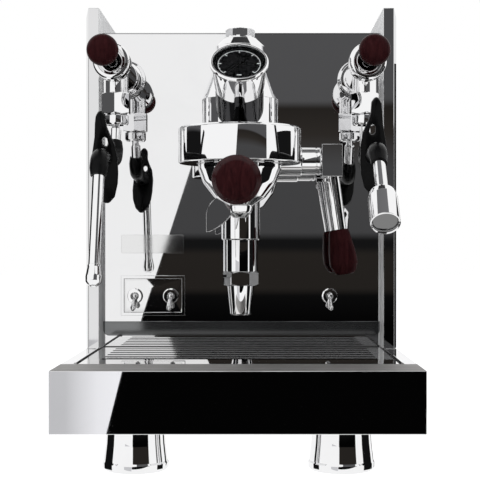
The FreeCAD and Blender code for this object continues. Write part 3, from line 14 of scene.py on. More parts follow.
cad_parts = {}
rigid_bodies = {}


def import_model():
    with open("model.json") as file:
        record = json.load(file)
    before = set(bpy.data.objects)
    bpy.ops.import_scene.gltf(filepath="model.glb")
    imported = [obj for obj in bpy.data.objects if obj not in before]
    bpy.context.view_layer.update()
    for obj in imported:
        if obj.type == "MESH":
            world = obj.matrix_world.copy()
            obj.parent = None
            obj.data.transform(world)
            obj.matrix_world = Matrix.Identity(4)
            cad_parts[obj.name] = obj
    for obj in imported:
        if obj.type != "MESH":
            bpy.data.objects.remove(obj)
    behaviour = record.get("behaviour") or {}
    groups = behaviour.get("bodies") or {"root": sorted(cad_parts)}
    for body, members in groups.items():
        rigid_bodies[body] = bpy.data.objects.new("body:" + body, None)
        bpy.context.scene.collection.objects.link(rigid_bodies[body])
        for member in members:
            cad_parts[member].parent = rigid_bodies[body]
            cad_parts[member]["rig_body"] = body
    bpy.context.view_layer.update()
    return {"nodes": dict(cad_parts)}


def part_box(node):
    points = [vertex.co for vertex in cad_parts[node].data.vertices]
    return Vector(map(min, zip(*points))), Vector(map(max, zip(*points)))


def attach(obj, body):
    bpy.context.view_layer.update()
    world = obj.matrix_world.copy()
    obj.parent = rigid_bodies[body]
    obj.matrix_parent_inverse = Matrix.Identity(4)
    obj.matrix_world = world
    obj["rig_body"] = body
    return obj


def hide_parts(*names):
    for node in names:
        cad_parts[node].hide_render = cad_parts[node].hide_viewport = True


MM = 0.001
X, Y, Z = Vector((1, 0, 0)), Vector((0, 1, 0)), Vector((0, 0, 1))
FRONT = -Y
ALONG_X = (6, 900, 900)
SOCKET_SHARE = 0.45
NECK_HEIGHT, LEVER_HEIGHT, VALVE_HEIGHT = 306, 263.5, 347
JOINT_FLOOR, JOINT_TOP, BALL_HEIGHT = 304, 323, 301
SWITCH_HEIGHT = 135

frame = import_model()
scene = bpy.context.scene
finish = {}


# ------------------------------------------------------------------ shader tools

def feed(tree, socket, value):
    """Link an input to another node's output, or give it a plain value."""
    if isinstance(value, bpy.types.NodeSocket):
        tree.links.new(value, socket)
    else:
        socket.default_value = value


def make_node(tree, kind, values=None, **settings):
    """A node with its settings made and its inputs filled or linked."""
    made = tree.nodes.new(kind)
    for name, value in settings.items():
        setattr(made, name, value)
    for key, value in (values or {}).items():
        feed(tree, made.inputs[key], value)
    return made


def add_node(tree, kind, values=None, **settings):
    """A shader node."""
    return make_node(tree, "ShaderNode" + kind, values, **settings)


def compute(tree, operation, *values, clamp=False):
    """One arithmetic step."""
    return add_node(tree, "Math", dict(enumerate(values)), operation=operation,
                    use_clamp=clamp).outputs[0]


def noise(tree, vector, scale, detail=3.0, roughness=0.55, distortion=0.0):
    """Cloudy noise from 0 to 1."""
    return add_node(tree, "TexNoise", {
        "Vector": vector, "Scale": scale, "Detail": detail, "Roughness": roughness,
        "Distortion": distortion}).outputs[0]


def stretched(tree, vector, scale, turn=(0, 0, 0)):
    """Coordinates drawn out along an axis."""
    return add_node(tree, "Mapping", {"Vector": vector, "Scale": scale, "Rotation": turn}
                    ).outputs[0]


def remap(tree, value, low, high, to_low=0.0, to_high=1.0):
    """A value carried from one range to another, and held inside it."""
    return add_node(tree, "MapRange", {
        "Value": value, "From Min": low, "From Max": high, "To Min": to_low, "To Max": to_high}
        ).outputs[0]


def blend_colour(tree, share, first, second):
    """Two colours mixed by a mask."""
    return add_node(tree, "Mix", {0: share, 6: first, 7: second}, data_type="RGBA").outputs[2]


def overlaid(tree, tint, mask, share, colour):
    """A tint with a share of a colour laid over it where a mask says."""
    return blend_colour(tree, compute(tree, "MULTIPLY", mask, share), tint, colour)


def bump(tree, height, strength, distance):
    """A normal from a height."""
    return add_node(tree, "Bump", {
        "Height": height, "Strength": strength, "Distance": distance}).outputs[0]


def ramp(tree, factor, stops):
    """A value turned into colours."""
    made = add_node(tree, "ValToRGB", {"Fac": factor})
    elements = made.color_ramp.elements
    elements.remove(elements[1])
    elements[0].position, elements[0].color = stops[0]
    for position, colour in stops[1:]:
        elements.new(position).color = colour
    return made.outputs[0]


def add_socket(tree, label, kind, value=None, way="INPUT"):
    """A named socket of a group."""
    made = tree.interface.new_socket(name=label, in_out=way, socket_type="NodeSocket" + kind)
    if value is not None:
        made.default_value = value


def shader_group(name, figure, value, make):
    """A shared group fed by a vector and one figure.  make gives its outputs by their names."""
    tree = bpy.data.node_groups.new(name, "ShaderNodeTree")
    add_socket(tree, "Vector", "Vector")
    add_socket(tree, figure, "Float", value)
    given = tree.nodes.new("NodeGroupInput").outputs
    outputs = make(tree, given["Vector"], given[figure])
    for label in outputs:
        add_socket(tree, label, "Float", way="OUTPUT")
    make_node(tree, "NodeGroupOutput", outputs)
    return tree


def smudges(tree, place, scale):
    """Wiping marks on polished metal: soft patches, hairlines and the sheet's own ripple."""
    drawn = stretched(tree, place, (60, 900, 90), (0.3, 0.2, 0.5))
    return {"Patches": remap(tree, noise(tree, place, scale, 5, 0.62, 0.4), 0.48, 0.74),
            "Hairlines": remap(tree, noise(tree, drawn, 3, 2), 0.66, 0.8),
            "Ripple": noise(tree, place, 6, 1, 0.4)}


def brushing(tree, place, scale):
    """Fine parallel lines left by an abrasive belt, running along the stretched axis."""
    coarse = noise(tree, place, compute(tree, "MULTIPLY", scale, 0.12), 2)
    return {"Lines": remap(tree, noise(tree, place, scale, 4, 0.7), 0.3, 0.7),
            "Bands": remap(tree, coarse, 0.35, 0.65)}


def edge_wear_and_hollow_shade(tree, place, sharpness):
    """Where an edge stands out and wears, and a painted shade mask where the surface is hollow."""
    point = add_node(tree, "NewGeometry").outputs["Pointiness"]
    broken = remap(tree, noise(tree, place, 160, 3), 0.35, 0.65, 0.3, 1)
    edge = remap(tree, point, 0.52, compute(tree, "ADD", 0.52, sharpness))
    # Edge marks what stands out, for wear; the second mask marks hollow corners and creases for
    # painted shade.
    return {"Edge": compute(tree, "MULTIPLY", edge, broken),
            "Painted Hollow Shade": remap(tree, point, 0.48, 0.42)}


def settled_dust(tree, place, amount):
    """Dust that lies on what faces up."""
    normal = add_node(tree, "NewGeometry").outputs["Normal"]
    up = add_node(tree, "SeparateXYZ", {0: normal}).outputs[2]
    patchy = remap(tree, noise(tree, place, 90, 6, 0.7), 0.38, 0.7)
    lying = compute(tree, "MULTIPLY", remap(tree, up, 0.55, 1.0), patchy)
    return {"Dust": compute(tree, "MULTIPLY", lying, amount)}


def wood_grain(tree, place, scale):
    """Long grain of a dense wood, with darker streaks and short open pores."""
    thin, fine = (compute(tree, "MULTIPLY", scale, share) for share in (4.5, 16))
    return {"Figure": remap(tree, noise(tree, place, scale, 3, 0.5, 1.6), 0.3, 0.72),
            "Streaks": remap(tree, noise(tree, place, thin, 4, 0.7), 0.5, 0.72),
            "Pores": remap(tree, noise(tree, place, fine, 2), 0.62, 0.72)}


def moulded_skin(tree, place, scale):
    """Skin of a moulded part: an even pebble and slow unevenness."""
    return {"Pebble": noise(tree, place, scale, 2, 0.5),
            "Patches": remap(tree, noise(tree, place, 40, 4), 0.35, 0.7)}


SMUDGES = shader_group("smudges", "Scale", 14.0, smudges)
BRUSHING = shader_group("brushing", "Scale", 1.0, brushing)
EDGE_WEAR_AND_SHADE = shader_group("edge wear and hollow shade", "Sharpness", 0.06, edge_wear_and_hollow_shade)
DUST = shader_group("settled dust", "Amount", 0.3, settled_dust)
GRAIN = shader_group("wood grain", "Scale", 1.0, wood_grain)
MOULDING = shader_group("moulded skin", "Scale", 1200.0, moulded_skin)


def use_group(tree, group, **values):
    """Place a shared group and fill its inputs."""
    return add_node(tree, "Group", values, node_tree=group).outputs


def fill(tree, inputs, **values):
    """Fill a shader's inputs.  A name's underscores stand for spaces."""
    for label, value in values.items():
        feed(tree, inputs[label.replace("_", " ")], value)


def start_finish(name, **plain):
    """Add a finish: gives its tree, its shader's inputs and the object's own coordinates."""
    finish[name] = bpy.data.materials.new(name)
    finish[name].use_nodes = True
    tree = finish[name].node_tree
    inputs = tree.nodes["Principled BSDF"].inputs
    fill(tree, inputs, **plain)
    return tree, inputs, add_node(tree, "TexCoord").outputs["Object"]


def darker(colour, share):
    """A colour with its light scaled down."""
    return tuple(part * share for part in colour[:3]) + (1,)


# ------------------------------------------------------------------ finishes

def polished_metal(name, colour, roughness, marks, ripple=0.0, dish=0.0):
    """Mirror finish with faint wiping marks and painted shade in its hollows; a dished one leans
    towards the front.
    """
    tree, inputs, place = start_finish(name, Metallic=1.0)
    marked = use_group(tree, SMUDGES, Vector=place)
    wear_and_shade = use_group(tree, EDGE_WEAR_AND_SHADE, Vector=place)
    tint = overlaid(tree, colour, marked["Patches"], 0.5, darker(colour, 0.94))
    # Painted shade: the tint darkens to less than half in hollow corners and creases.
    tint = overlaid(tree, tint, wear_and_shade["Painted Hollow Shade"], 0.5, darker(colour, 0.45))
    rough = compute(tree, "MULTIPLY_ADD", marked["Patches"], marks, roughness)
    rough = compute(tree, "MULTIPLY_ADD", marked["Hairlines"], marks, rough)
    fill(tree, inputs, Base_Color=tint, Roughness=rough)
    if ripple:
        fill(tree, inputs, Normal=bump(tree, marked["Ripple"], ripple, 0.002))
    if dish:
        flat = add_node(tree, "NewGeometry").outputs["Normal"]
        leant = add_node(tree, "VectorMath", {0: flat, 1: (0, -dish, 0)}, operation="ADD")
        level = add_node(tree, "VectorMath", {0: leant.outputs[0]}, operation="NORMALIZE")
        fill(tree, inputs, Normal=level.outputs[0])


def brushed_metal(name, colour, roughness, stretch, depth, spread=0.16, metallic=1.0):
    """Belt-ground finish whose lines run along the axis with the smallest stretch, with painted
    shade in its hollows.
    """
    tree, inputs, place = start_finish(name, Metallic=metallic)
    lines = use_group(tree, BRUSHING, Vector=stretched(tree, place, stretch), Scale=1.0)
    wear_and_shade = use_group(tree, EDGE_WEAR_AND_SHADE, Vector=place)
    tint = blend_colour(tree, lines["Bands"], colour, darker(colour, 0.86))
    # Painted shade: the tint darkens in hollow corners and creases.
    fill(tree, inputs, Base_Color=blend_colour(tree, wear_and_shade["Painted Hollow Shade"], tint, darker(colour, 0.4)),
         Roughness=compute(tree, "MULTIPLY_ADD", lines["Lines"], spread, roughness),
         Normal=bump(tree, lines["Lines"], depth, 0.0002))


def lacquered_wood(name, stretch):
    """Dense red-brown wood under a thin lacquer."""
    tree, inputs, place = start_finish(name, Specular_IOR_Level=0.14, IOR=1.12)
    grain = use_group(tree, GRAIN, Vector=stretched(tree, place, stretch), Scale=1.0)
    wear_and_shade = use_group(tree, EDGE_WEAR_AND_SHADE, Vector=place)
    tint = blend_colour(tree, grain["Figure"], (0.018, 0.0042, 0.005, 1), (0.042, 0.011, 0.012, 1))
    tint = overlaid(tree, tint, grain["Streaks"], 0.7, (0.012, 0.004, 0.005, 1))
    tint = overlaid(tree, tint, grain["Pores"], 0.6, (0.004, 0.002, 0.002, 1))
    tint = overlaid(tree, tint, wear_and_shade["Edge"], 0.4, (0.11, 0.035, 0.03, 1))
    closed = compute(tree, "SUBTRACT", 1.0, grain["Pores"])
    fill(tree, inputs, Base_Color=tint, Roughness=remap(tree, grain["Pores"], 0, 1, 0.24, 0.5),
         Normal=bump(tree, closed, 0.12, 0.0002))


def moulded(name, colour, roughness, pebble, dusty=0.05, **plain):
    """Rubber or plastic with a moulded skin, rubbed edges and a little dust."""
    tree, inputs, place = start_finish(name, **plain)
    skin = use_group(tree, MOULDING, Vector=place, Scale=1600.0)
    wear_and_shade = use_group(tree, EDGE_WEAR_AND_SHADE, Vector=place)
    dust = use_group(tree, DUST, Vector=place, Amount=dusty)["Dust"]
    tint = blend_colour(tree, skin["Patches"], darker(colour, 0.75), colour)
    tint = overlaid(tree, tint, wear_and_shade["Edge"], 0.35,
                    tuple(part * 2.2 + 0.01 for part in colour[:3]) + (1,))
    rough = compute(tree, "MULTIPLY_ADD", skin["Patches"], 0.1, roughness)
    fill(tree, inputs, Base_Color=blend_colour(tree, dust, tint, (0.35, 0.34, 0.32, 1)),
         Roughness=compute(tree, "ADD", rough, dust, clamp=True),
         Normal=bump(tree, skin["Pebble"], pebble, 0.0002))


def clear_moulding(name, colour, haze, **plain):
    """Transparent plastic or glass with faint haze where it has been handled."""
    tree, inputs, place = start_finish(name, Transmission_Weight=1.0, **plain)
    marks = use_group(tree, SMUDGES, Vector=place, Scale=24.0)["Patches"]
    fill(tree, inputs, Base_Color=blend_colour(tree, marks, colour, darker(colour, 0.96)),
         Roughness=compute(tree, "MULTIPLY_ADD", marks, haze, 0.02))


polished_metal("mirror_steel", (0.84, 0.84, 0.845, 1), 0.012, 0.015, 0.004)
# A darker copy of mirror steel for the side panels: painted shade.
polished_metal("panel_steel_painted_shade", (0.74, 0.74, 0.745, 1), 0.02, 0.03)
polished_metal("etched_steel", (0.78, 0.78, 0.78, 1), 0.045, 0.03)
polished_metal("chrome", (0.9, 0.9, 0.905, 1), 0.015, 0.015)
brushed_metal("satin_steel", (0.36, 0.36, 0.365, 1), 0.14, ALONG_X, 0.12)
brushed_metal("ledge_steel", (0.4, 0.39, 0.38, 1), 0.46, ALONG_X, 0.05)
brushed_metal("strip_steel", (0.2, 0.205, 0.208, 1), 0.03, ALONG_X, 0.01, 0.03, 0.8)
brushed_metal("liner_steel", (0.96, 0.96, 0.96, 1), 0.5, ALONG_X, 0.02, 0.1, 0.2)
# A dark copy of mirror steel for the line along the front panel's top edge: a painted dark
# reflection.
polished_metal("hem_steel", (0.34, 0.34, 0.345, 1), 0.1, 0.05)
brushed_metal("tray_steel", (0.08, 0.08, 0.082, 1), 0.3, (6, 700, 700), 0.1)
polished_metal("flange_steel", (0.78, 0.77, 0.76, 1), 0.02, 0.02, 0.0, 0.058)
polished_metal("dark_steel", (0.2, 0.2, 0.2, 1), 0.05, 0.03)
# Near-black chrome: the gauge boss's own finish, and painted shade on the brew ring's underside
# and the grille's slot walls.
polished_metal("black_chrome", (0.05, 0.05, 0.052, 1), 0.06, 0.03)
brushed_metal("grille_steel", (0.7, 0.7, 0.69, 1), 0.05, ALONG_X, 0.002, 0.03, 0.66)
brushed_metal("stainless", (0.62, 0.62, 0.62, 1), 0.16, (400, 400, 9), 0.1)
brushed_metal("copper", (0.72, 0.42, 0.27, 1), 0.22, (300, 300, 20), 0.08)
lacquered_wood("dark_wood", (170, 60, 34))
moulded("black_rubber", (0.004, 0.004, 0.0042, 1), 0.24, 0.04, 0.01, Specular_IOR_Level=0.07)
moulded("black_plastic", (0.014, 0.014, 0.015, 1), 0.4, 0.12, Specular_IOR_Level=0.2)
moulded("pump_paint", (0.045, 0.046, 0.05, 1), 0.32, 0.1, 0.3)
moulded("dial_black", (0.004, 0.004, 0.0045, 1), 0.6, 0.05, 0.0, Specular_IOR_Level=0.01)
moulded("needle_paint", (0.007, 0.007, 0.0075, 1), 0.5, 0.05, 0.0, Specular_IOR_Level=0.02)
clear_moulding("clear_plastic", (0.9, 0.94, 0.96, 1), 0.12, IOR=1.49)
clear_moulding("gauge_clear", (0.97, 0.98, 0.98, 1), 0.02, IOR=1.03)
moulded("dial_print", (0.42, 0.43, 0.44, 1), 0.6, 0.02, 0.0, Specular_IOR_Level=0.02)


# ------------------------------------------------------------------ mesh tools

slot_of_variant = {
    "panel_steel_painted_shade": "mirror_steel", "etched_steel": "mirror_steel",
    "hem_steel": "mirror_steel", "strip_steel": "satin_steel", "dark_steel": "chrome",
    "black_chrome": "chrome", "dial_print": "dial_black",
}


def reach_of(node):
    """Lowest and highest corner of a CAD node in millimetres."""
    low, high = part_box(node)
    return low / MM, high / MM


def middle_of(node):
    """Middle of a CAD node's box in millimetres."""
    low, high = reach_of(node)
    return (low + high) / 2


def soften(points, radii, steps):
    """A line through the points, with an arc at each corner that has a radius."""
    line = []
    for index, (point, radius) in enumerate(zip(points, radii)):
        if not radius:
            line.append(point)
            continue
        back = (points[index - 1] - point).normalized()
        ahead = (points[(index + 1) % len(points)] - point).normalized()
        half = back.angle(ahead) / 2
        centre = point + (back + ahead).normalized() * (radius / math.sin(half))
        reach = radius / math.tan(half)
        start, stop = point + back * reach - centre, point + ahead * reach - centre
        sweep = start.angle(stop)
        for step in range(steps + 1):
            share = step / steps
            line.append(centre + start * (math.sin((1 - share) * sweep) / math.sin(sweep))
                        + stop * (math.sin(share * sweep) / math.sin(sweep)))
    return line


def frame_at(origin, axis):
    """A matrix that stands Z along an axis at a point."""
    turn = Z.rotation_difference(Vector(axis)).to_matrix().to_4x4()
    return Matrix.Translation(Vector(origin)) @ turn


def turned(bm, corners, origin=(0, 0, 0), axis=Z, around=96, loop=False, flats=None, steps=5):
    """Add a turned form.  A corner is a radius, a height and, if it is eased, its rounding."""
    line = soften([Vector(corner[:2]) for corner in corners],
                  [corner[2] if len(corner) > 2 else 0 for corner in corners], steps)
    stand = frame_at(origin, axis)
    rings = []
    for radius, height in line:
        if radius < 1e-4:
            rings.append([bm.verts.new(stand @ Vector((0, 0, height)))])
            continue
        ring = []
        for index in range(around):
            angle = 2 * math.pi * index / around
            out = radius
            if flats:
                out = min(radius, flats / 2 / math.cos(angle % (math.pi / 3) - math.pi / 6))
            ring.append(bm.verts.new(stand @ Vector(
                (out * math.cos(angle), out * math.sin(angle), height))))
        rings.append(ring)
    pairs = list(zip(rings, rings[1:]))
    if loop:
        pairs.append((rings[-1], rings[0]))
    for low, high in pairs:
        if len(low) == len(high) == 1:
            continue
        for index in range(around):
            after = index + 1
            corner = [low[index % len(low)], low[after % len(low)],
                      high[after % len(high)], high[index % len(high)]]
            bm.faces.new(list(dict.fromkeys(corner)))


def nut(bm, flats, low, high, origin=(0, 0, 0), axis=Z, chamfer=1.1, bore=0.0):
    """Add a hexagon nut with turned chamfers."""
    inner, corner = flats / 2 * 1.01, flats / 2 / math.cos(math.pi / 6)
    shares = [step / 5 for step in range(6)]
    rise = [(inner + (corner - inner) * share, low + chamfer * share) for share in shares]
    fall = [(radius, high + low - height) for radius, height in reversed(rise)]
    ends = [(bore, low)] + rise + fall + [(bore, high)]
    turned(bm, ends, origin, axis, 96, bool(bore), flats)


def bridge(bm, low, high):
    """Faces between two rings of as many points."""
    for index in range(len(low)):
        after = (index + 1) % len(low)
        bm.faces.new((low[index], low[after], high[after], high[index]))


def swept(bm, path, radius_at, around=40):
    """Add a round bar along a path.  radius_at gives its radius from the share of its length."""
    lengths = [0.0]
    for first, second in zip(path, path[1:]):
        lengths.append(lengths[-1] + (second - first).length)
    side = None
    rings = []
    for index, point in enumerate(path):
        ahead = path[min(index + 1, len(path) - 1)] - path[max(index - 1, 0)]
        ahead.normalize()
        if side is None:
            side = ahead.orthogonal().normalized()
        side = (side - ahead * side.dot(ahead)).normalized()
        other = ahead.cross(side)
        radius = radius_at(lengths[index] / lengths[-1])
        rings.append([bm.verts.new(point + (side * math.cos(2 * math.pi * step / around)
                                            + other * math.sin(2 * math.pi * step / around))
                                   * radius) for step in range(around)])
    for low, high in zip(rings, rings[1:]):
        bridge(bm, low, high)
    bm.faces.new(rings[0][::-1])
    bm.faces.new(rings[-1])


def slab(bm, outline, low, high, origin=(0, 0, 0), axis=Z):
    """Add a flat plate: an outline in its own plane, given thickness along the axis."""
    stand = frame_at(origin, axis)
    floor, roof = ([bm.verts.new(stand @ Vector((x, y, height))) for x, y in outline]
                   for height in (low, high))
    bm.faces.new(floor[::-1])
    bm.faces.new(roof)
    bridge(bm, floor, roof)


def arc(radius, height, start, stop, step):
    """Corners along a circle that is centred on the axis at a height, in degrees."""
    return [(radius * math.cos(math.radians(turn)), height + radius * math.sin(math.radians(turn)))
            for turn in range(start, stop, step)]


def rounded_box(width, height, radius, steps=6):
    """Outline of a rectangle with rounded corners, centred."""
    x, y = width / 2, height / 2
    corners = [Vector((-x, -y)), Vector((x, -y)), Vector((x, y)), Vector((-x, y))]
    return [tuple(point) for point in soften(corners, [radius] * 4, steps)]


def add_thing(name, data):
    """Put an object in the scene."""
    thing = bpy.data.objects.new(name, data)
    scene.collection.objects.link(thing)
    return thing


def plain_mesh(name, bm):
    """A mesh from a working one, which is let go."""
    mesh = bpy.data.meshes.new(name)
    bm.to_mesh(mesh)
    bm.free()
    return mesh


def shade(mesh, finish_names, sharp):
    """Smooth a mesh but for its sharp edges, and give it its finishes."""
    mesh.shade_smooth()
    mesh.set_sharp_from_angle(angle=math.radians(sharp))
    for label in finish_names:
        mesh.materials.append(finish[label])


def hold(thing, body, stands_for):
    """Let a finished piece ride on its body and stand for its CAD nodes."""
    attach(thing, body)
    if stands_for:
        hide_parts(*stands_for)
    label = thing.data.materials[0].name
    label = slot_of_variant.get(label, label)
    return thing


def break_edges(thing, width):
    """Round a piece's sharp edges a little and keep its flats flat."""
    edge = thing.modifiers.new("broken edges", "BEVEL")
    edge.width, edge.segments = width * MM, 2
    edge.limit_method, edge.angle_limit = "ANGLE", math.radians(32)
    edge.use_clamp_overlap = False
    even = thing.modifiers.new("even shading", "WEIGHTED_NORMAL")
    even.keep_sharp = True


def finished(name, bm, body, finish_names, stands_for, sharp, ease):
    """An object from a working mesh in metres, on its body and in its finishes."""
    mesh = plain_mesh(name, bm)
    shade(mesh, finish_names, sharp)
    thing = add_thing(name, mesh)
    if ease:
        break_edges(thing, ease)
    return hold(thing, body, stands_for)


def piece(name, bm, body, finish_name, stands_for=(), sharp=30, ease=0.0):
    """Close a working mesh in millimetres into a finished object, with its faces outward."""
    bmesh.ops.remove_doubles(bm, verts=bm.verts, dist=1e-4)
    bmesh.ops.recalc_face_normals(bm, faces=bm.faces)
    bmesh.ops.scale(bm, vec=(MM, MM, MM), verts=bm.verts)
    labels = [finish_name] if isinstance(finish_name, str) else finish_name
    return finished(name, bm, body, labels, stands_for, sharp, ease)


def turned_piece(name, body, finish_name, stands_for, *form, **options):
    """A piece that is one turned form, with what turned() takes."""
    bm = bmesh.new()
    turned(bm, *form, **options)
    return piece(name, bm, body, finish_name, stands_for)


def dress_copy(node, finish_name, ease=0.4):
    """Stand a copy of a CAD node in its place, merged, with its edges broken."""
    source = frame["nodes"][node]
    bm = bmesh.new()
    bm.from_mesh(source.data)
    bmesh.ops.remove_doubles(bm, verts=bm.verts, dist=2e-6)
    bmesh.ops.dissolve_limit(bm, angle_limit=math.radians(0.4), verts=bm.verts, edges=bm.edges)
    return finished(node + "_skin", bm, source["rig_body"], [finish_name], [node], 30, ease)


def keep_node(node, finish_name):
    """Give a CAD node that stays its finish."""
    mesh = frame["nodes"][node].data
    mesh.materials.clear()
    mesh.materials.append(finish[finish_name])


PANEL_FACE = reach_of("front_panel")[0].y


# ------------------------------------------------------------------ casing

def casing():
    """Sheet metal of the case and the base."""
    for node in ("base_chassis", "front_panel"):
        dress_copy(node, "mirror_steel", 0.45)
    # Side panels take a darker copy of mirror steel as painted shade, with a liner finish on their
    # inward faces.
    for node, inward in (("left_side_panel", 1), ("right_side_panel", -1)):
        second_finish(dress_copy(node, "panel_steel_painted_shade", 0.45), "liner_steel",
                      Vector((inward, 0, 0)))
    # A thin dark strip laid on the front panel's top edge: a painted dark reflection.
    low, high = reach_of("front_panel")
    bm = bmesh.new()
    slab(bm, rounded_box(high.x - low.x - 0.6, 1, 0.3), 0.01, 0.2, (0, low.y, high.z - 0.5), FRONT)
    piece("panel_top_painted_line", bm, "machine", "hem_steel")
    for node in ("rear_panel", "tank_lid", "cup_tray"):
        dress_copy(node, "satin_steel", 0.4)
    second_finish(dress_copy("drawer_front", "mirror_steel", 0.45), "ledge_steel", Z)
    dress_copy("splash_strip", "strip_steel", 0.25)
    grille()
    for node, finish_name in (("drip_tray", "tray_steel"), ("inner_frame", "satin_steel"),
                              ("boiler", "copper"), ("feed_pipes", "copper"),
                              ("pump", "pump_paint"), ("water_tank", "clear_plastic")):
        keep_node(node, finish_name)
    dress_copy("mains_inlet", "black_plastic", 0.3)


FLANGE_DEPTH, RIM_WIDTH = 39.8, 2
RAIL_GAP, RAIL_RADIUS = 2.6, 1.3


def grille():
    """Slotted plate: grey bars, slot walls in painted shade and a dished front flange, and two
    rails.
    """
    low, high = reach_of("drip_grille")
    source = frame["nodes"]["drip_grille"]
    bm = bmesh.new()
    bm.from_mesh(source.data)
    bmesh.ops.scale(bm, vec=(1 / MM, 1 / MM, 1 / MM), verts=bm.verts)
    bmesh.ops.remove_doubles(bm, verts=bm.verts, dist=2e-3)
    flange = low.y + FLANGE_DEPTH
    bmesh.ops.bisect_plane(bm, geom=bm.verts[:] + bm.edges[:] + bm.faces[:],
                           plane_co=(0, flange, 0), plane_no=(0, 1, 0))
    bm.normal_update()
    for face in bm.faces:
        middle = face.calc_center_median()
        inside = (low.x + RIM_WIDTH < middle.x < high.x - RIM_WIDTH
                  and low.y + RIM_WIDTH < middle.y < high.y - RIM_WIDTH)
        # Slot walls get the near-black finish as painted shade; the flange's top gets its own
        # finish.
        if abs(face.normal.z) < 0.5 and inside:
            face.material_index = 1
        elif face.normal.z > 0.9 and middle.y < flange:
            face.material_index = 2
    piece("grille_plate", bm, source["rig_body"],
          ["grille_steel", "black_chrome", "flange_steel"], ["drip_grille"])
    bm = bmesh.new()
    panel_foot = reach_of("left_side_panel")[0].y - 1
    for side in (-1, 1):
        x = side * (high.x + RAIL_GAP)
        swept(bm, [Vector((x, low.y + 0.5, high.z - 0.1)), Vector((x, panel_foot, high.z - 0.1))],
              lambda share: RAIL_RADIUS, 24)
    piece("grille_rails", bm, "machine", "chrome")


def second_finish(thing, finish_name, facing):
    """Give the faces that look one way a finish of their own."""
    thing.data.materials.append(finish[finish_name])
    for face in thing.data.polygons:
        if face.normal.dot(facing) > 0.9:
            face.material_index = 1


PLATE_WIDTH, PLATE_HEIGHT = 61, 18
PLATE_PLACE = (-87.5, 186)


def name_plate():
    """Bare polished plate low on the left of the front panel."""
    bm = bmesh.new()
    slab(bm, rounded_box(PLATE_WIDTH, PLATE_HEIGHT, 1.5), 0.01, 0.5,
         (PLATE_PLACE[0], PANEL_FACE, PLATE_PLACE[1]), FRONT)
    piece("bare_plate", bm, "machine", "etched_steel", ease=0.15)


FOOT_RADIUS = 27.5


def feet():
    """Four turned feet with a low rim."""
    low, high = reach_of("feet")
    bm = bmesh.new()
    for x in (low.x + FOOT_RADIUS, high.x - FOOT_RADIUS):
        for y in (low.y + FOOT_RADIUS, high.y - FOOT_RADIUS):
            turned(bm, [(0, 0), (25.6, 0, 1.2), (27.4, 2.4, 1), (27.4, 6.4, 0.9), (26.6, 8, 0.8),
                        (25, 22, 20), (24.3, high.z - 1, 0.8), (23.4, high.z), (0, high.z)],
                   (x, y, 0))
    piece("turned_feet", bm, "machine", "chrome", ["feet"])


# ------------------------------------------------------------------ brew group

def brew_head():
    """The heavy ring, the chamber with its neck and boss, and the collar on top."""
    bell = middle_of("group_bell")
    low, high = (corner.z for corner in reach_of("group_bell"))
    ring = turned_piece(
        "brew_ring", "machine", "chrome", ["group_bell"],
        [(0, low + 17.5), (37.2, low + 17.5), (37.2, low + 11.5), (43.3, low + 11.5),
         (43.3, low + 4), (38, low + 4), (38, low, 0.5), (53.2, low, 0.3), (54.25, low + 1, 0.6),
         (54.25, high - 1.8, 1.4), (52.4, high, 0.8), (0, high)], (bell.x, bell.y, 0), around=160)
    # The ring's downward faces get near-black chrome: painted shade under the ring.
    second_finish(ring, "black_chrome", -Z)

    cap = middle_of("group_top_nut")
    column = middle_of("discharge_nozzle")
    bm = bmesh.new()
    turned(bm, [(0, high - 1), (34.5, high - 1), (34.5, 316.5, 1.6), (22.4, 350), (0, 350)],
           (0, cap.y, 0), around=128)
    turned(bm, [(0, 0), (24, 0), (24, 77), (0, 77)], (0, PANEL_FACE - 77, NECK_HEIGHT), Y)
    turned(bm, [(0, 0), (36, 0), (36, 5.8, 1), (34.6, 7), (0, 7)], (0, PANEL_FACE, NECK_HEIGHT),
           FRONT)
    turned(bm, [(0, 240), (21, 240), (22, 241), (22, 312), (0, 312)], (0, column.y, 0))
    turned(bm, [(0, 0), (14, 0), (14, 56), (13.2, 57), (0, 57)],
           (0, column.y, LEVER_HEIGHT), X)
    piece("chamber_casting", bm, "machine", "chrome", ["group_body"])

    turned_piece("gauge_boss", "machine", "black_chrome", (),
                 [(0, -62), (21.3, -62), (21.3, -24), (0, -24)], GAUGE_CENTRE, GAUGE_FACING)

    bm = bmesh.new()
    turned(bm, [(0, 350), (22.4, 350), (22.4, 364.8, 1), (15, 371.6, 0.6), (15, 372.2),
                (12, 372.6), (12, 374), (0, 374)], (0, cap.y, 0))
    nut(bm, 23, 373, 380.5, (0, cap.y, 0), chamfer=0.8)
    piece("chamber_cap", bm, "machine", "chrome", ["group_top_nut"])

    keep_node("group_gasket", "black_rubber")
    keep_node("shower_screen", "stainless")


GAUGE_TILT = math.radians(43)
GAUGE_FACING = Vector((0, -math.cos(GAUGE_TILT), math.sin(GAUGE_TILT)))
GAUGE_CENTRE = Vector((0, -122, 340.6))
DIAL_FACE = -0.3


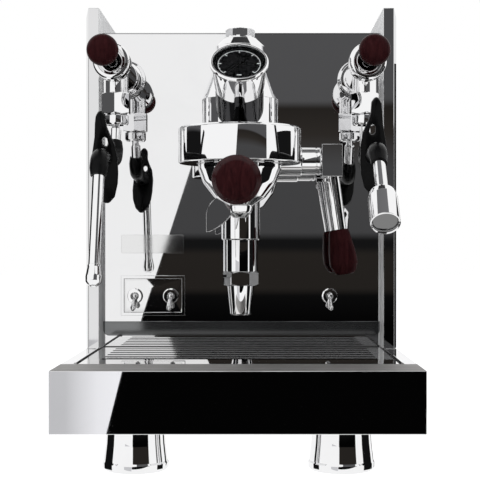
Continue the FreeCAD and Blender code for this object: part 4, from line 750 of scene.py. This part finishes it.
def gauge():
    """Housing, rim, dial print and glass of the pressure gauge."""
    for name, finish_name, node, loop, outline in (
            ("gauge_case", "chrome", "gauge_housing", False,
             [(0, -26), (21.6, -26, 0.5), (23.4, -1.6), (23.4, 0), (23.1, 0), (23.1, -3.6),
              (0, -3.6)]),
            ("gauge_rim", "chrome", "gauge_bezel", True,
             [(22.5, 0.2), (25.4, 0.2, 0.3), (25.4, 1.7, 1.3), (24.1, 3.3, 0.8), (22.9, 3.3, 0.4),
              (22.5, 1.6)]),
            ("dial_plate", "dial_black", "gauge_dial", False,
             [(0, -3.5), (23, -3.5), (23, DIAL_FACE), (0, DIAL_FACE)]),
            ("gauge_window", "gauge_clear", "gauge_glass", False,
             [(0, 0.8), (22.4, 0.8), (22.4, 1.3), (0, 1.3)])):
        around = 128 if finish_name == "chrome" else 96
        turned_piece(name, "machine", finish_name, [node], outline, GAUGE_CENTRE, GAUGE_FACING,
                     around, loop)
    blade = dress_copy("gauge_needle", "needle_paint", 0.0)
    low = min((vertex.co - GAUGE_CENTRE * MM).dot(GAUGE_FACING) for vertex in blade.data.vertices)
    for vertex in blade.data.vertices:
        vertex.co += GAUGE_FACING * (DIAL_FACE * MM - low)
        depth = (vertex.co - GAUGE_CENTRE * MM).dot(GAUGE_FACING) - DIAL_FACE * MM
        vertex.co -= GAUGE_FACING * depth * 0.85
    dial_scale()


def dial_scale():
    """Printed arc with ticks, a hair above the dial's face."""
    lift = DIAL_FACE + 0.02
    stand = frame_at(GAUGE_CENTRE, GAUGE_FACING)
    up = (stand.to_3x3().inverted() @ Z).to_2d().normalized()
    top = math.atan2(up.y, up.x)
    bm = bmesh.new()

    def patch(inner, outer, start, stop, steps):
        """A flat piece of a ring, in degrees from the top."""
        rings = []
        for step in range(steps + 1):
            angle = top - math.radians(start + (stop - start) * step / steps)
            rings.append([bm.verts.new(stand @ Vector(
                (radius * math.cos(angle), radius * math.sin(angle), height)))
                for radius, height in ((inner, lift), (outer, lift), (outer, lift + 0.06),
                                       (inner, lift + 0.06))])
        bm.faces.new(rings[0])
        bm.faces.new(rings[-1])
        for low, high in zip(rings, rings[1:]):
            bridge(bm, low, high)

    patch(17.9, 18.5, -132, 132, 60)
    for mark in range(7):
        middle = -132 + 44 * mark
        patch(15.2, 17.9, middle - 1.8, middle + 1.8, 2)
    for mark in range(18):
        middle = -124.7 + 44 / 3 * mark
        patch(17, 17.9, middle - 0.6, middle + 0.6, 1)
    patch(14.2, 15.4, 172, 188, 4)
    piece("dial_scale", bm, "machine", "dial_print", sharp=20)


# ------------------------------------------------------------------ column and lever

def infusion_column():
    """Stepped barrel, hexagon and nozzle under the cam chamber."""
    middle = middle_of("discharge_nozzle")
    turned_piece("infusion_barrel", "machine", "chrome", ["infusion_column"],
                 [(0, 160), (16.25, 160, 0.5), (16.25, 189.6), (17, 189.6), (18, 190.8, 0.5),
                  (18, 232, 1), (21, 234, 0.6), (21, 240), (0, 240)], (0, middle.y, 0))
    bm = bmesh.new()
    nut(bm, 28.6, 147, 160, (0, middle.y, 0))
    turned(bm, [(2.4, 119.5), (8.8, 119.5, 0.5), (9.75, 120.6, 0.5), (12.5, 148), (2.4, 148)],
           (0, middle.y, 0), loop=True)
    piece("nozzle", bm, "machine", "chrome", ["discharge_nozzle"])


LEVER_SPLAY = math.radians(8.5)
LEVER_DOWN = Vector((math.sin(LEVER_SPLAY), 0, -math.cos(LEVER_SPLAY)))


def lever():
    """Packing nut, hub block and rod of the brew lever, and its wooden grip."""
    gland = middle_of("lever_gland")
    low = reach_of("lever_gland")[0].x
    turned_piece("packing_nut", "machine", "chrome", ["lever_gland"],
                 [(5.05, 0), (13, 0, 0.4), (13, 12.8), (12.4, 13.3), (12.4, 14), (13, 14.5),
                  (13, 16.8, 0.6), (12, 17.9), (5.05, 17.9)], (low, gland.y, gland.z), X,
                 loop=True)
    root = Vector((82.3, gland.y, gland.z))
    bm = bmesh.new()
    slab(bm, [(-15, -16.5), (15, -16.5), (15, 16), (11, 20), (-11, 20), (-15, 16)], 75.3, 94.3,
         (0, gland.y, gland.z), X)
    turned(bm, [(0, 0), (5, 0), (5, 64), (0, 64)], (12, gland.y, gland.z), X, 48)
    turned(bm, [(0, 10), (8, 10), (8, 22, 6), (7.2, 62), (7.2, 65), (0, 65)], root, LEVER_DOWN)
    turned(bm, [(0, 0), (3.4, 0, 0.3), (3.4, 3.2, 0.4), (2.6, 4), (0, 4)],
           (79.5, gland.y - 7, gland.z - 16.4), -Z, 32)
    piece("lever_arm", bm, "lever", "chrome", ["brew_lever"], ease=0.35)
    turned_piece("lever_grip", "lever", "dark_wood", ["brew_lever_grip"],
                 [(0, 65), (8.6, 65, 0.6), (9.6, 67.5, 2), (12.8, 87, 20), (13.4, 97.5, 8),
                  (9.2, 106.8, 5), (0, 107.5)], root, LEVER_DOWN, steps=8)


# ------------------------------------------------------------------ portafilter

HANDLE_DROOP = math.radians(6)
HANDLE_HEIGHT = 251.25
HANDLE_WAY = Vector((0, -math.cos(HANDLE_DROOP), -math.sin(HANDLE_DROOP)))


def portafilter():
    """Bowl with its ears and rod, the spout, the basket and the wooden handle."""
    middle = middle_of("portafilter_basket")
    rim = reach_of("portafilter_head")[1].z
    floor = 209
    root = Vector((0, middle.y, HANDLE_HEIGHT))
    bm = bmesh.new()
    turned(bm, [(0, floor), (6, floor, 4), (10.8, floor + 5, 5), (12, floor + 11, 3),
                (22.5, floor + 18, 8), (32.5, floor + 31, 14), (36.9, floor + 43, 6),
                (36.9, rim, 0.4), (32.1, rim), (32.1, floor + 34.5), (2.4, floor + 17),
                (0, floor + 17)], (0, middle.y, 0), around=128, steps=8)
    ear_sectors(bm, middle.y, rim - 6)
    turned(bm, [(0, 34), (6.5, 34), (6.5, 64), (7.6, 66, 1), (9.5, 69, 1), (9.5, 73, 0.6),
                (9, 74), (0, 74)], root, HANDLE_WAY)
    piece("portafilter_bowl", bm, "portafilter", "chrome", ["portafilter_head"])
    turned_piece("wood_handle", "portafilter", "dark_wood", ["portafilter_handle"],
                 [(0, 74), (10, 74, 0.8), (10.4, 78, 2), (12.8, 100, 30), (18.2, 148, 30),
                  (18.8, 167, 10), (13.7, 181.5, 9), (0, 184)], root, HANDLE_WAY, 128, steps=10)
    dress_copy("portafilter_spout", "chrome", 0.3)
    keep_node("portafilter_basket", "stainless")


def ear_sectors(bm, y, low):
    """Two bayonet ears on the bowl."""
    for facing in (0, 180):
        outline = []
        for radius, sweep in ((42.4, (-12, 12)), (35.5, (12, -12))):
            for step in range(9):
                angle = math.radians(facing + sweep[0] + (sweep[1] - sweep[0]) * step / 8)
                outline.append((radius * math.cos(angle), radius * math.sin(angle)))
        slab(bm, outline, low, low + 4.5, (0, y, 0))


# ------------------------------------------------------------------ valves and wands

def valve(word):
    """One valve with its joystick and the nut of its wand's ball joint."""
    nut_middle = middle_of(word + "_joint_nut")
    root = Vector((nut_middle.x, PANEL_FACE, VALVE_HEIGHT))
    bm = bmesh.new()
    turned(bm, [(0, 0), (19, 0), (19, 3.4, 0.6), (16.2, 7, 0.6), (13, 7, 0.5), (13, 96, 4),
                (14.4, 101, 1), (16.4, 105.5, 1.4), (16.4, 110), (15.8, 110.5), (15.8, 112),
                (16.4, 112.5), (16.4, 122.6, 0.8), (15, 124.6, 0.4), (12.4, 125, 0.2),
                (12.2, 124.2), (10.2, 124.2), (9.9, 125, 0.3), (9, 125), (9, 122), (12.5, 122),
                (12.5, 99), (0, 99)], root, FRONT, 112)
    turned(bm, [(0, 0), (11, 0), (11, 24), (0, 24)], (root.x, nut_middle.y, JOINT_TOP))
    piece(word + "_valve", bm, "machine", "chrome", [word + "_valve_body"])
    bm = bmesh.new()
    nut(bm, 24.5, JOINT_FLOOR, JOINT_TOP, (root.x, nut_middle.y, 0), bore=9.8)
    bmesh.ops.rotate(bm, cent=(root.x, nut_middle.y, 0), verts=bm.verts,
                     matrix=Matrix.Rotation(math.pi / 6, 3, "Z"))
    piece(word + "_swivel_nut", bm, "machine", "chrome", [word + "_joint_nut"])
    keep_node(word + "_joystick_seat", "black_rubber")
    turned_piece(word + "_stick", word + "_stick", "chrome", [word + "_joystick"],
                 [(0, 102)] + arc(6, 108, -80, 56, 9)
                 + [(3.4, 113.2), (3.4, 164, 0.3), (4.3, 164.6, 0.4), (5.2, 167.2), (3.4, 168.4),
                    (3.4, 169.6), (0, 169.6)], root, FRONT, 64)
    turned_piece(word + "_knob", word + "_stick", "dark_wood", [word + "_joystick_knob"],
                 [(3.4, 169.6), (3.4, 169.2)] + arc(13.3, 182, -74, 88, 6)
                 + [(0, 195.3), (0, 169.6)], root, FRONT, 96)


FIRST_BEND = math.radians(66.6)


def wand_path(lean, drop, run, turning, fall, centre):
    """The bent line of a wand, from its joint's centre to its tip."""
    way = Vector((0, -math.sin(FIRST_BEND), -math.cos(FIRST_BEND)))
    last = FIRST_BEND - math.radians(turning)
    end = Vector((0, -math.sin(last), -math.cos(last)))
    knee = Vector((0, 0, -drop))
    ankle = knee + way * run
    tilt = Matrix.Rotation(-math.radians(lean), 3, "X")
    points = [tilt @ point + centre for point in
              (Vector((0, 0, 0)), knee, ankle, ankle + end * fall)]
    return points, (tilt @ end).normalized()


def wand(word, kind, lean, drop, run, turning, fall, tail):
    """Tube with its joint ball and cup, rubber grip and what is on its end."""
    nut_middle = middle_of(word + "_joint_nut")
    centre = Vector((nut_middle.x, nut_middle.y, BALL_HEIGHT))
    points, way = wand_path(lean, drop, run, turning, fall, centre)
    down = (points[1] - points[0]).normalized()
    line = soften([points[0] + down * 12.5, points[1], points[2], points[3]], [0, 15, 15, 0], 16)
    bm = bmesh.new()
    swept(bm, line, lambda share: 5, 48)
    ball = [(0, -6.5)] + arc(6.5, 0, -82, 55, 8)
    turned(bm, ball + [(3.6, 5.6), (3.6, 10.5), (5, 13), (0, 13)], centre, down, 64)
    piece(kind + "_tube", bm, kind + "_arm", "chrome", [kind + "_wand"])
    wand_grip(kind, points, line, tail, lean)
    tip = points[3]
    if kind == "steam":
        turned_piece("steam_nozzle", "steam_arm", "chrome", ["steam_tip"],
                     [(2, 0), (5.6, 0, 0.3), (5.6, 2, 0.5), (6.8, 9.4, 6), (6.5, 13.5, 2),
                      (5.2, 15.5, 1), (3, 17, 0.4), (2, 16)], tip, way, loop=True)
    else:
        turned_piece("water_nozzle", "water_arm", "chrome", ["water_head"],
                     [(0, 0), (5.6, 0, 0.3), (7.5, 1.5, 1), (10.6, 5.4, 5), (11.7, 11, 6),
                      (11.7, 37.6, 0.4), (10.8, 38), (10.3, 37.4), (10.3, 33), (0, 33)], tip,
                     way, 96, steps=8)
        turned_piece("water_screen", "water_arm", "dark_steel", (),
                     [(0, 33.2), (10.1, 33.2), (10.1, 34.6, 0.3), (9.2, 35.2, 1), (0, 34.6)],
                     tip, way, 64)
    turned_piece(kind + "_ball_cup", kind + "_swivel_ring", "chrome", [kind + "_joint_cup"],
                 [(9, -7), (10.2, -7, 0.4), (11.2, -5.4, 1), (11.2, 1.4, 0.6), (9.5, 2.7),
                  (9.5, 10), (0, 10), (0, 6.8), (6.8, 6.8), (6.8, -1.5), (6.2, -2.5), (9, -7)],
                 centre)


def wand_grip(kind, points, line, tail, lean):
    """Rubber sleeve over the bends with its leaf tab."""
    first = (points[1] - points[0]).normalized()
    end = (points[3] - points[2]).normalized()
    cut = [line[1] - first * 7] + line[1:-1] + [line[-2] + end * tail]
    bm = bmesh.new()
    swept(bm, cut, lambda share: 7.5 - 1.1 * max(0, abs(share - 0.5) - 0.46) / 0.04, 40)
    leaf_tab(bm, points[0], lean, 1 if kind == "steam" else -1)
    piece(kind + "_grip", bm, kind + "_arm", "black_rubber", [kind + "_wand_grip"], sharp=50)


TAB_PLACE, TAB_SLANT = (0, -67, -70), 49.5


def leaf_tab(bm, root, lean, side):
    """A long leaf with a narrow top, a broad lobe below and a hole for a finger's tip."""
    right = [(1, 42), (3.6, 38), (4, 28), (6.5, 20), (9.8, 12), (11.3, 0), (11, -15),
             (10, -25), (7.2, -36), (2, -42)]
    left = [(-2, -42), (-7, -36), (-10, -26), (-11, -15), (-10.5, 0), (-8.6, 9), (-6.5, 20),
            (-5.4, 32), (-4.4, 38), (-2, 42)]
    loop = soften([Vector(point) for point in right + left], [3] * len(right + left), 4)
    eye = Vector((1.8, 14.9))
    hole = []
    for point in loop:
        away = (point - eye).normalized()
        hole.append(eye + Vector((away.x * 2.9, away.y * 4.8)))
    tilt = Matrix.Rotation(-math.radians(lean), 4, "X")
    local = Matrix.Translation(TAB_PLACE) @ Matrix.Rotation(math.radians(90 + TAB_SLANT), 4, "X")
    stand = Matrix.Translation(root) @ tilt @ local
    levels = [(-2.9, 0.15), (-2.5, 0.06), (-1.7, 0), (1.7, 0), (2.5, 0.06), (2.9, 0.15)]
    outer, inner = [], []
    for height, inset in levels:
        outer.append([bm.verts.new(stand @ Vector((
            side * (point.x - inset * 0.7 * point.x), point.y * (1 - inset * 0.2), height)))
            for point in loop])
        inner.append([bm.verts.new(stand @ Vector((
            side * (eye.x + (point.x - eye.x) * (1 + inset * 2)),
            eye.y + (point.y - eye.y) * (1 + inset * 2), height))) for point in hole])
    for rings in (outer, inner):
        for low, high in zip(rings, rings[1:]):
            bridge(bm, low, high)
    for level in (0, -1):
        bridge(bm, outer[level], inner[level])


# ------------------------------------------------------------------ controls

def switches():
    """Framed plate, bushes and bat levers of the three switches."""
    dress_copy("switch_plate", "mirror_steel", 0.25)
    bm = bmesh.new()
    for word in ("power", "pump", "heater"):
        low, high = reach_of(word + "_toggle")
        x = (low.x + high.x) / 2
        lift = 1.5 if word != "heater" else 0
        place = (x, PANEL_FACE - lift, SWITCH_HEIGHT)
        turned(bm, [(0, 0), (7.6, 0, 0.2), (7.6, 0.9, 0.2), (6.6, 1.2), (0, 1.2)], place, FRONT,
               48)
        nut(bm, 11.6, 1.2, 3.4, place, FRONT, 0.5)
    piece("switch_washers", bm, "machine", "chrome")
    for node in ("toggle_nuts", "power_toggle", "pump_toggle", "heater_toggle"):
        dress_copy(node, "chrome", 0.0)


def screw_tree():
    """Geometry nodes: a socket-head screw on every point, turned to face along it."""
    tree = bpy.data.node_groups.new("screw field", "GeometryNodeTree")
    add_socket(tree, "Geometry", "Geometry")
    for label, value in (("Head Radius", 0.0028), ("Head Height", 0.0016),
                         ("Socket Radius", 0.0013)):
        add_socket(tree, label, "Float", value)
    add_socket(tree, "Finish", "Material")
    add_socket(tree, "Geometry", "Geometry", way="OUTPUT")
    given = tree.nodes.new("NodeGroupInput").outputs
    outer, inner = given["Head Radius"], given["Socket Radius"]

    def cone(sides, low, high, depth, shift):
        """A short cone moved along the screw."""
        made = make_node(tree, "GeometryNodeMeshCone", {
            "Vertices": sides, "Radius Bottom": low, "Radius Top": high, "Depth": depth})
        return make_node(tree, "GeometryNodeTransform", {
            "Geometry": made.outputs["Mesh"], "Translation": (0, 0, shift)}).outputs["Geometry"]

    head = cone(32, outer, compute(tree, "MULTIPLY", outer, 0.86), given["Head Height"], -0.0004)
    hollow = cone(6, compute(tree, "MULTIPLY", inner, 0.8), inner, 0.004, 0.0004)
    cut = make_node(tree, "GeometryNodeMeshBoolean", {0: head, 1: hollow},
                    operation="DIFFERENCE")
    normal = make_node(tree, "GeometryNodeInputNormal")
    face = make_node(tree, "FunctionNodeAlignRotationToVector", {"Vector": normal.outputs[0]},
                     axis="Z")
    spread = make_node(tree, "GeometryNodeInstanceOnPoints", {
        "Points": given["Geometry"], "Instance": cut.outputs[0], "Rotation": face.outputs[0]})
    solid = make_node(tree, "GeometryNodeRealizeInstances", {0: spread.outputs[0]})
    coat = make_node(tree, "GeometryNodeSetMaterial", {
        "Geometry": solid.outputs[0], "Material": given["Finish"]})
    make_node(tree, "NodeGroupOutput", {0: coat.outputs[0]})
    return tree


def socket_named(tree, label):
    """Identifier of a modifier's input."""
    for entry in tree.interface.items_tree:
        if entry.name == label and entry.in_out == "INPUT":
            return entry.identifier
    raise ValueError(label)


def screws(name, spots, body, tree, head=2.8):
    """Screws at points on a wall.  A spot is a place and the way its head faces."""
    bm = bmesh.new()
    for place, way in spots:
        stand = frame_at(Vector(place) * MM, way)
        ring = [bm.verts.new(stand @ Vector((1e-5 * math.cos(turn), 1e-5 * math.sin(turn), 0)))
                for turn in (0, 2.1, 4.2)]
        bm.faces.new(ring)
    seeds = add_thing(name + "_spots", plain_mesh(name + "_spots", bm))
    field = seeds.modifiers.new("screws", "NODES")
    field.node_group = tree
    field[socket_named(tree, "Head Radius")] = head * MM
    field[socket_named(tree, "Socket Radius")] = head * SOCKET_SHARE * MM
    field[socket_named(tree, "Finish")] = finish["stainless"]
    graph = bpy.context.evaluated_depsgraph_get()
    baked = bpy.data.meshes.new_from_object(seeds.evaluated_get(graph))
    baked.materials.clear()
    bpy.data.objects.remove(seeds)
    bm = bmesh.new()
    bm.from_mesh(baked)
    bmesh.ops.remove_doubles(bm, verts=bm.verts, dist=1e-5)
    bpy.data.meshes.remove(baked)
    return finished(name, bm, body, ["stainless"], (), 30, 0.0)


def rear_screws():
    """Fixings of the rear panel, with their heads barely proud of it."""
    low, high = reach_of("rear_panel")
    sunk, inset = 1.0, 8
    back = [((x, high.y - sunk, z), Y) for x in (low.x + inset, high.x - inset)
            for z in (low.z + 14, (low.z + high.z) / 2, high.z - 12)]
    screws("rear_screws", back, "machine", screw_tree())


# ------------------------------------------------------------------ studio

def studio_world():
    """Even light from all round; metal and glass see plain white."""
    world = bpy.data.worlds.new("studio")
    scene.world = world
    world.use_nodes = True
    tree = world.node_tree
    tree.nodes.clear()
    rays = add_node(tree, "LightPath").outputs
    seen = compute(tree, "MAXIMUM", rays["Is Camera Ray"], rays["Is Glossy Ray"])
    seen = compute(tree, "MAXIMUM", seen, rays["Is Transmission Ray"])
    light = add_node(tree, "Background", {"Color": (0.95, 0.97, 1, 1), "Strength": 0.55})
    white = add_node(tree, "Background", {"Color": (1, 1, 1, 1), "Strength": 1.0})
    mixed = add_node(tree, "MixShader", {0: seen, 1: light.outputs[0], 2: white.outputs[0]})
    add_node(tree, "OutputWorld", {0: mixed.outputs[0]})


def bare_material(name):
    """A material whose tree is empty."""
    made = bpy.data.materials.new(name)
    made.use_nodes = True
    made.node_tree.nodes.clear()
    return made


def studio_floor():
    """Plain pale floor that keeps the machine's shadow."""
    made = bare_material("pale floor")
    tree = made.node_tree
    place = add_node(tree, "TexCoord").outputs["Object"]
    tint = blend_colour(tree, noise(tree, place, 3, 2), (0.8, 0.8, 0.8, 1), (0.78, 0.78, 0.785, 1))
    body = add_node(tree, "BsdfDiffuse", {"Color": tint})
    rays = add_node(tree, "LightPath").outputs
    glow = add_node(tree, "Emission", {"Color": (1, 1, 1, 1), "Strength": compute(
        tree, "MULTIPLY", rays["Is Camera Ray"], 0.62)})
    both = add_node(tree, "AddShader", {0: body.outputs[0], 1: glow.outputs[0]})
    add_node(tree, "OutputMaterial", {0: both.outputs[0]})
    bm = bmesh.new()
    bmesh.ops.create_grid(bm, x_segments=8, y_segments=8, size=6)
    floor = add_thing("floor", plain_mesh("floor", bm))
    floor.data.materials.append(made)
    floor.visible_glossy = False


def dark_screen(name, corners, along, start, stop, stops):
    """A studio screen that only polished metal sees, graded along one axis."""
    made = bare_material(name)
    tree = made.node_tree
    place = add_node(tree, "SeparateXYZ", {0: add_node(tree, "TexCoord").outputs["Object"]}
                     ).outputs[along]
    tint = ramp(tree, remap(tree, place, start, stop), stops)
    glow = add_node(tree, "Emission", {"Color": tint, "Strength": 1.0})
    add_node(tree, "OutputMaterial", {0: glow.outputs[0]})
    mesh = bpy.data.meshes.new(name)
    mesh.from_pydata([Vector(corner) * MM for corner in corners], [], [tuple(range(len(corners)))])
    mesh.materials.append(made)
    screen = add_thing(name, mesh)
    screen.visible_camera = screen.visible_diffuse = screen.visible_shadow = False
    screen.visible_transmission = False


def grey(level):
    """An even grey."""
    return (level, level, level * 1.03, 1)


def warm(level):
    """A grey with a little brown in it."""
    return (level * 1.15, level, level * 0.88, 1)


SCREEN_BACK = -1752


def studio_screens():
    """The dark screen behind the camera with its slanted edge, a grey one low on its left,
    and a black flag on each side."""
    outline = [(-325, -310), (2050, -310), (2050, 2300), (480, 2300), (-150, 370), (-271, 0),
               (-267, -80)]
    dark_screen("dark_screen", [(x, SCREEN_BACK, z) for x, z in outline], 2, -0.3, 0.9,
                [(0.0, grey(0.0012)), (0.24, grey(0.0012)), (0.3, grey(0.004)),
                 (0.315, warm(0.017)), (0.385, warm(0.018)), (0.4, grey(0.008)),
                 (0.415, grey(0.008)), (0.43, grey(0.06)), (0.56, grey(0.062)),
                 (0.63, warm(0.026)), (0.685, warm(0.018)), (0.7, grey(0.085)),
                 (1.0, grey(0.092))])
    dark_screen("grey_screen", [(-1200, -1756, -400), (-236, -1756, -400), (-236, -1756, -45),
                                (-1200, -1756, -45)], 0, -0.4, -0.28,
                [(0.0, grey(0.61)), (0.12, grey(0.62)), (0.4, grey(0.8)), (0.68, grey(0.95)),
                 (1.0, grey(1.0))])
    dark_screen("overhead_card", [(-1500, -450, 1590), (600, -450, 1590), (600, 80, 1590),
                                  (-1500, 80, 1590)], 0, -1.5, 0.6,
                [(0.0, grey(0.14)), (1.0, grey(0.17))])
    dark_screen("ceiling_flag", [(-420, 100, 1600), (420, 100, 1600), (420, 520, 1600),
                                 (-420, 520, 1600)], 0, -0.5, 0.5,
                [(0.0, grey(0.03)), (1.0, grey(0.05))])
    for name, x, front, back, top, upper in (
            ("flag_left", -300, -197, 10, 400, 0.085), ("flag_right", 300, -213, -19, 318, 0.01),
            ("flag_behind", 300, 160, 330, 400, 0.01)):
        dark_screen(name, [(x, front, -90), (x, back, -90), (x, back, top), (x, front, top)],
                    2, 0, 0.4, [(0.0, grey(0.006)), (0.79, grey(0.008)), (0.81, grey(upper))])


def soft_lamp(name, place, aim, size, power):
    """A large soft lamp."""
    data = bpy.data.lights.new(name, "AREA")
    data.shape, data.size, data.energy = "SQUARE", size, power
    lamp = add_thing(name, data)
    lamp.location = place
    lamp.rotation_euler = (Vector(aim) - Vector(place)).to_track_quat("-Z", "Y").to_euler()
    lamp.visible_glossy = False


VIEW_LENS, VIEW_SHIFT = 90, (-0.0365, 0.0104)
VIEW_PLACE = (0.0157, -1.152, 0.185)


def camera():
    """Straight-on view from the front, a little above the tray."""
    data = bpy.data.cameras.new("camera")
    data.lens, data.sensor_width = VIEW_LENS, 36
    data.shift_x, data.shift_y = VIEW_SHIFT
    scene.camera = add_thing("camera", data)
    scene.camera.location = VIEW_PLACE
    scene.camera.rotation_euler = (math.pi / 2, 0, 0)


casing()
name_plate()
feet()
brew_head()
gauge()
infusion_column()
lever()
portafilter()
valve("left")
valve("right")
wand("left", "steam", lean=20, drop=41, run=104, turning=68.3, fall=92, tail=6)
wand("right", "water", lean=26, drop=49, run=101, turning=48.6, fall=46, tail=9)
switches()
rear_screws()
studio_world()
studio_floor()
studio_screens()
soft_lamp("key", (-0.9, -1.1, 1.5), (0, 0, 0.2), 1.2, 14)
soft_lamp("fill", (1.2, -0.6, 1.1), (0, 0, 0.2), 1.4, 6)
camera()
scene.view_settings.view_transform = "Standard"
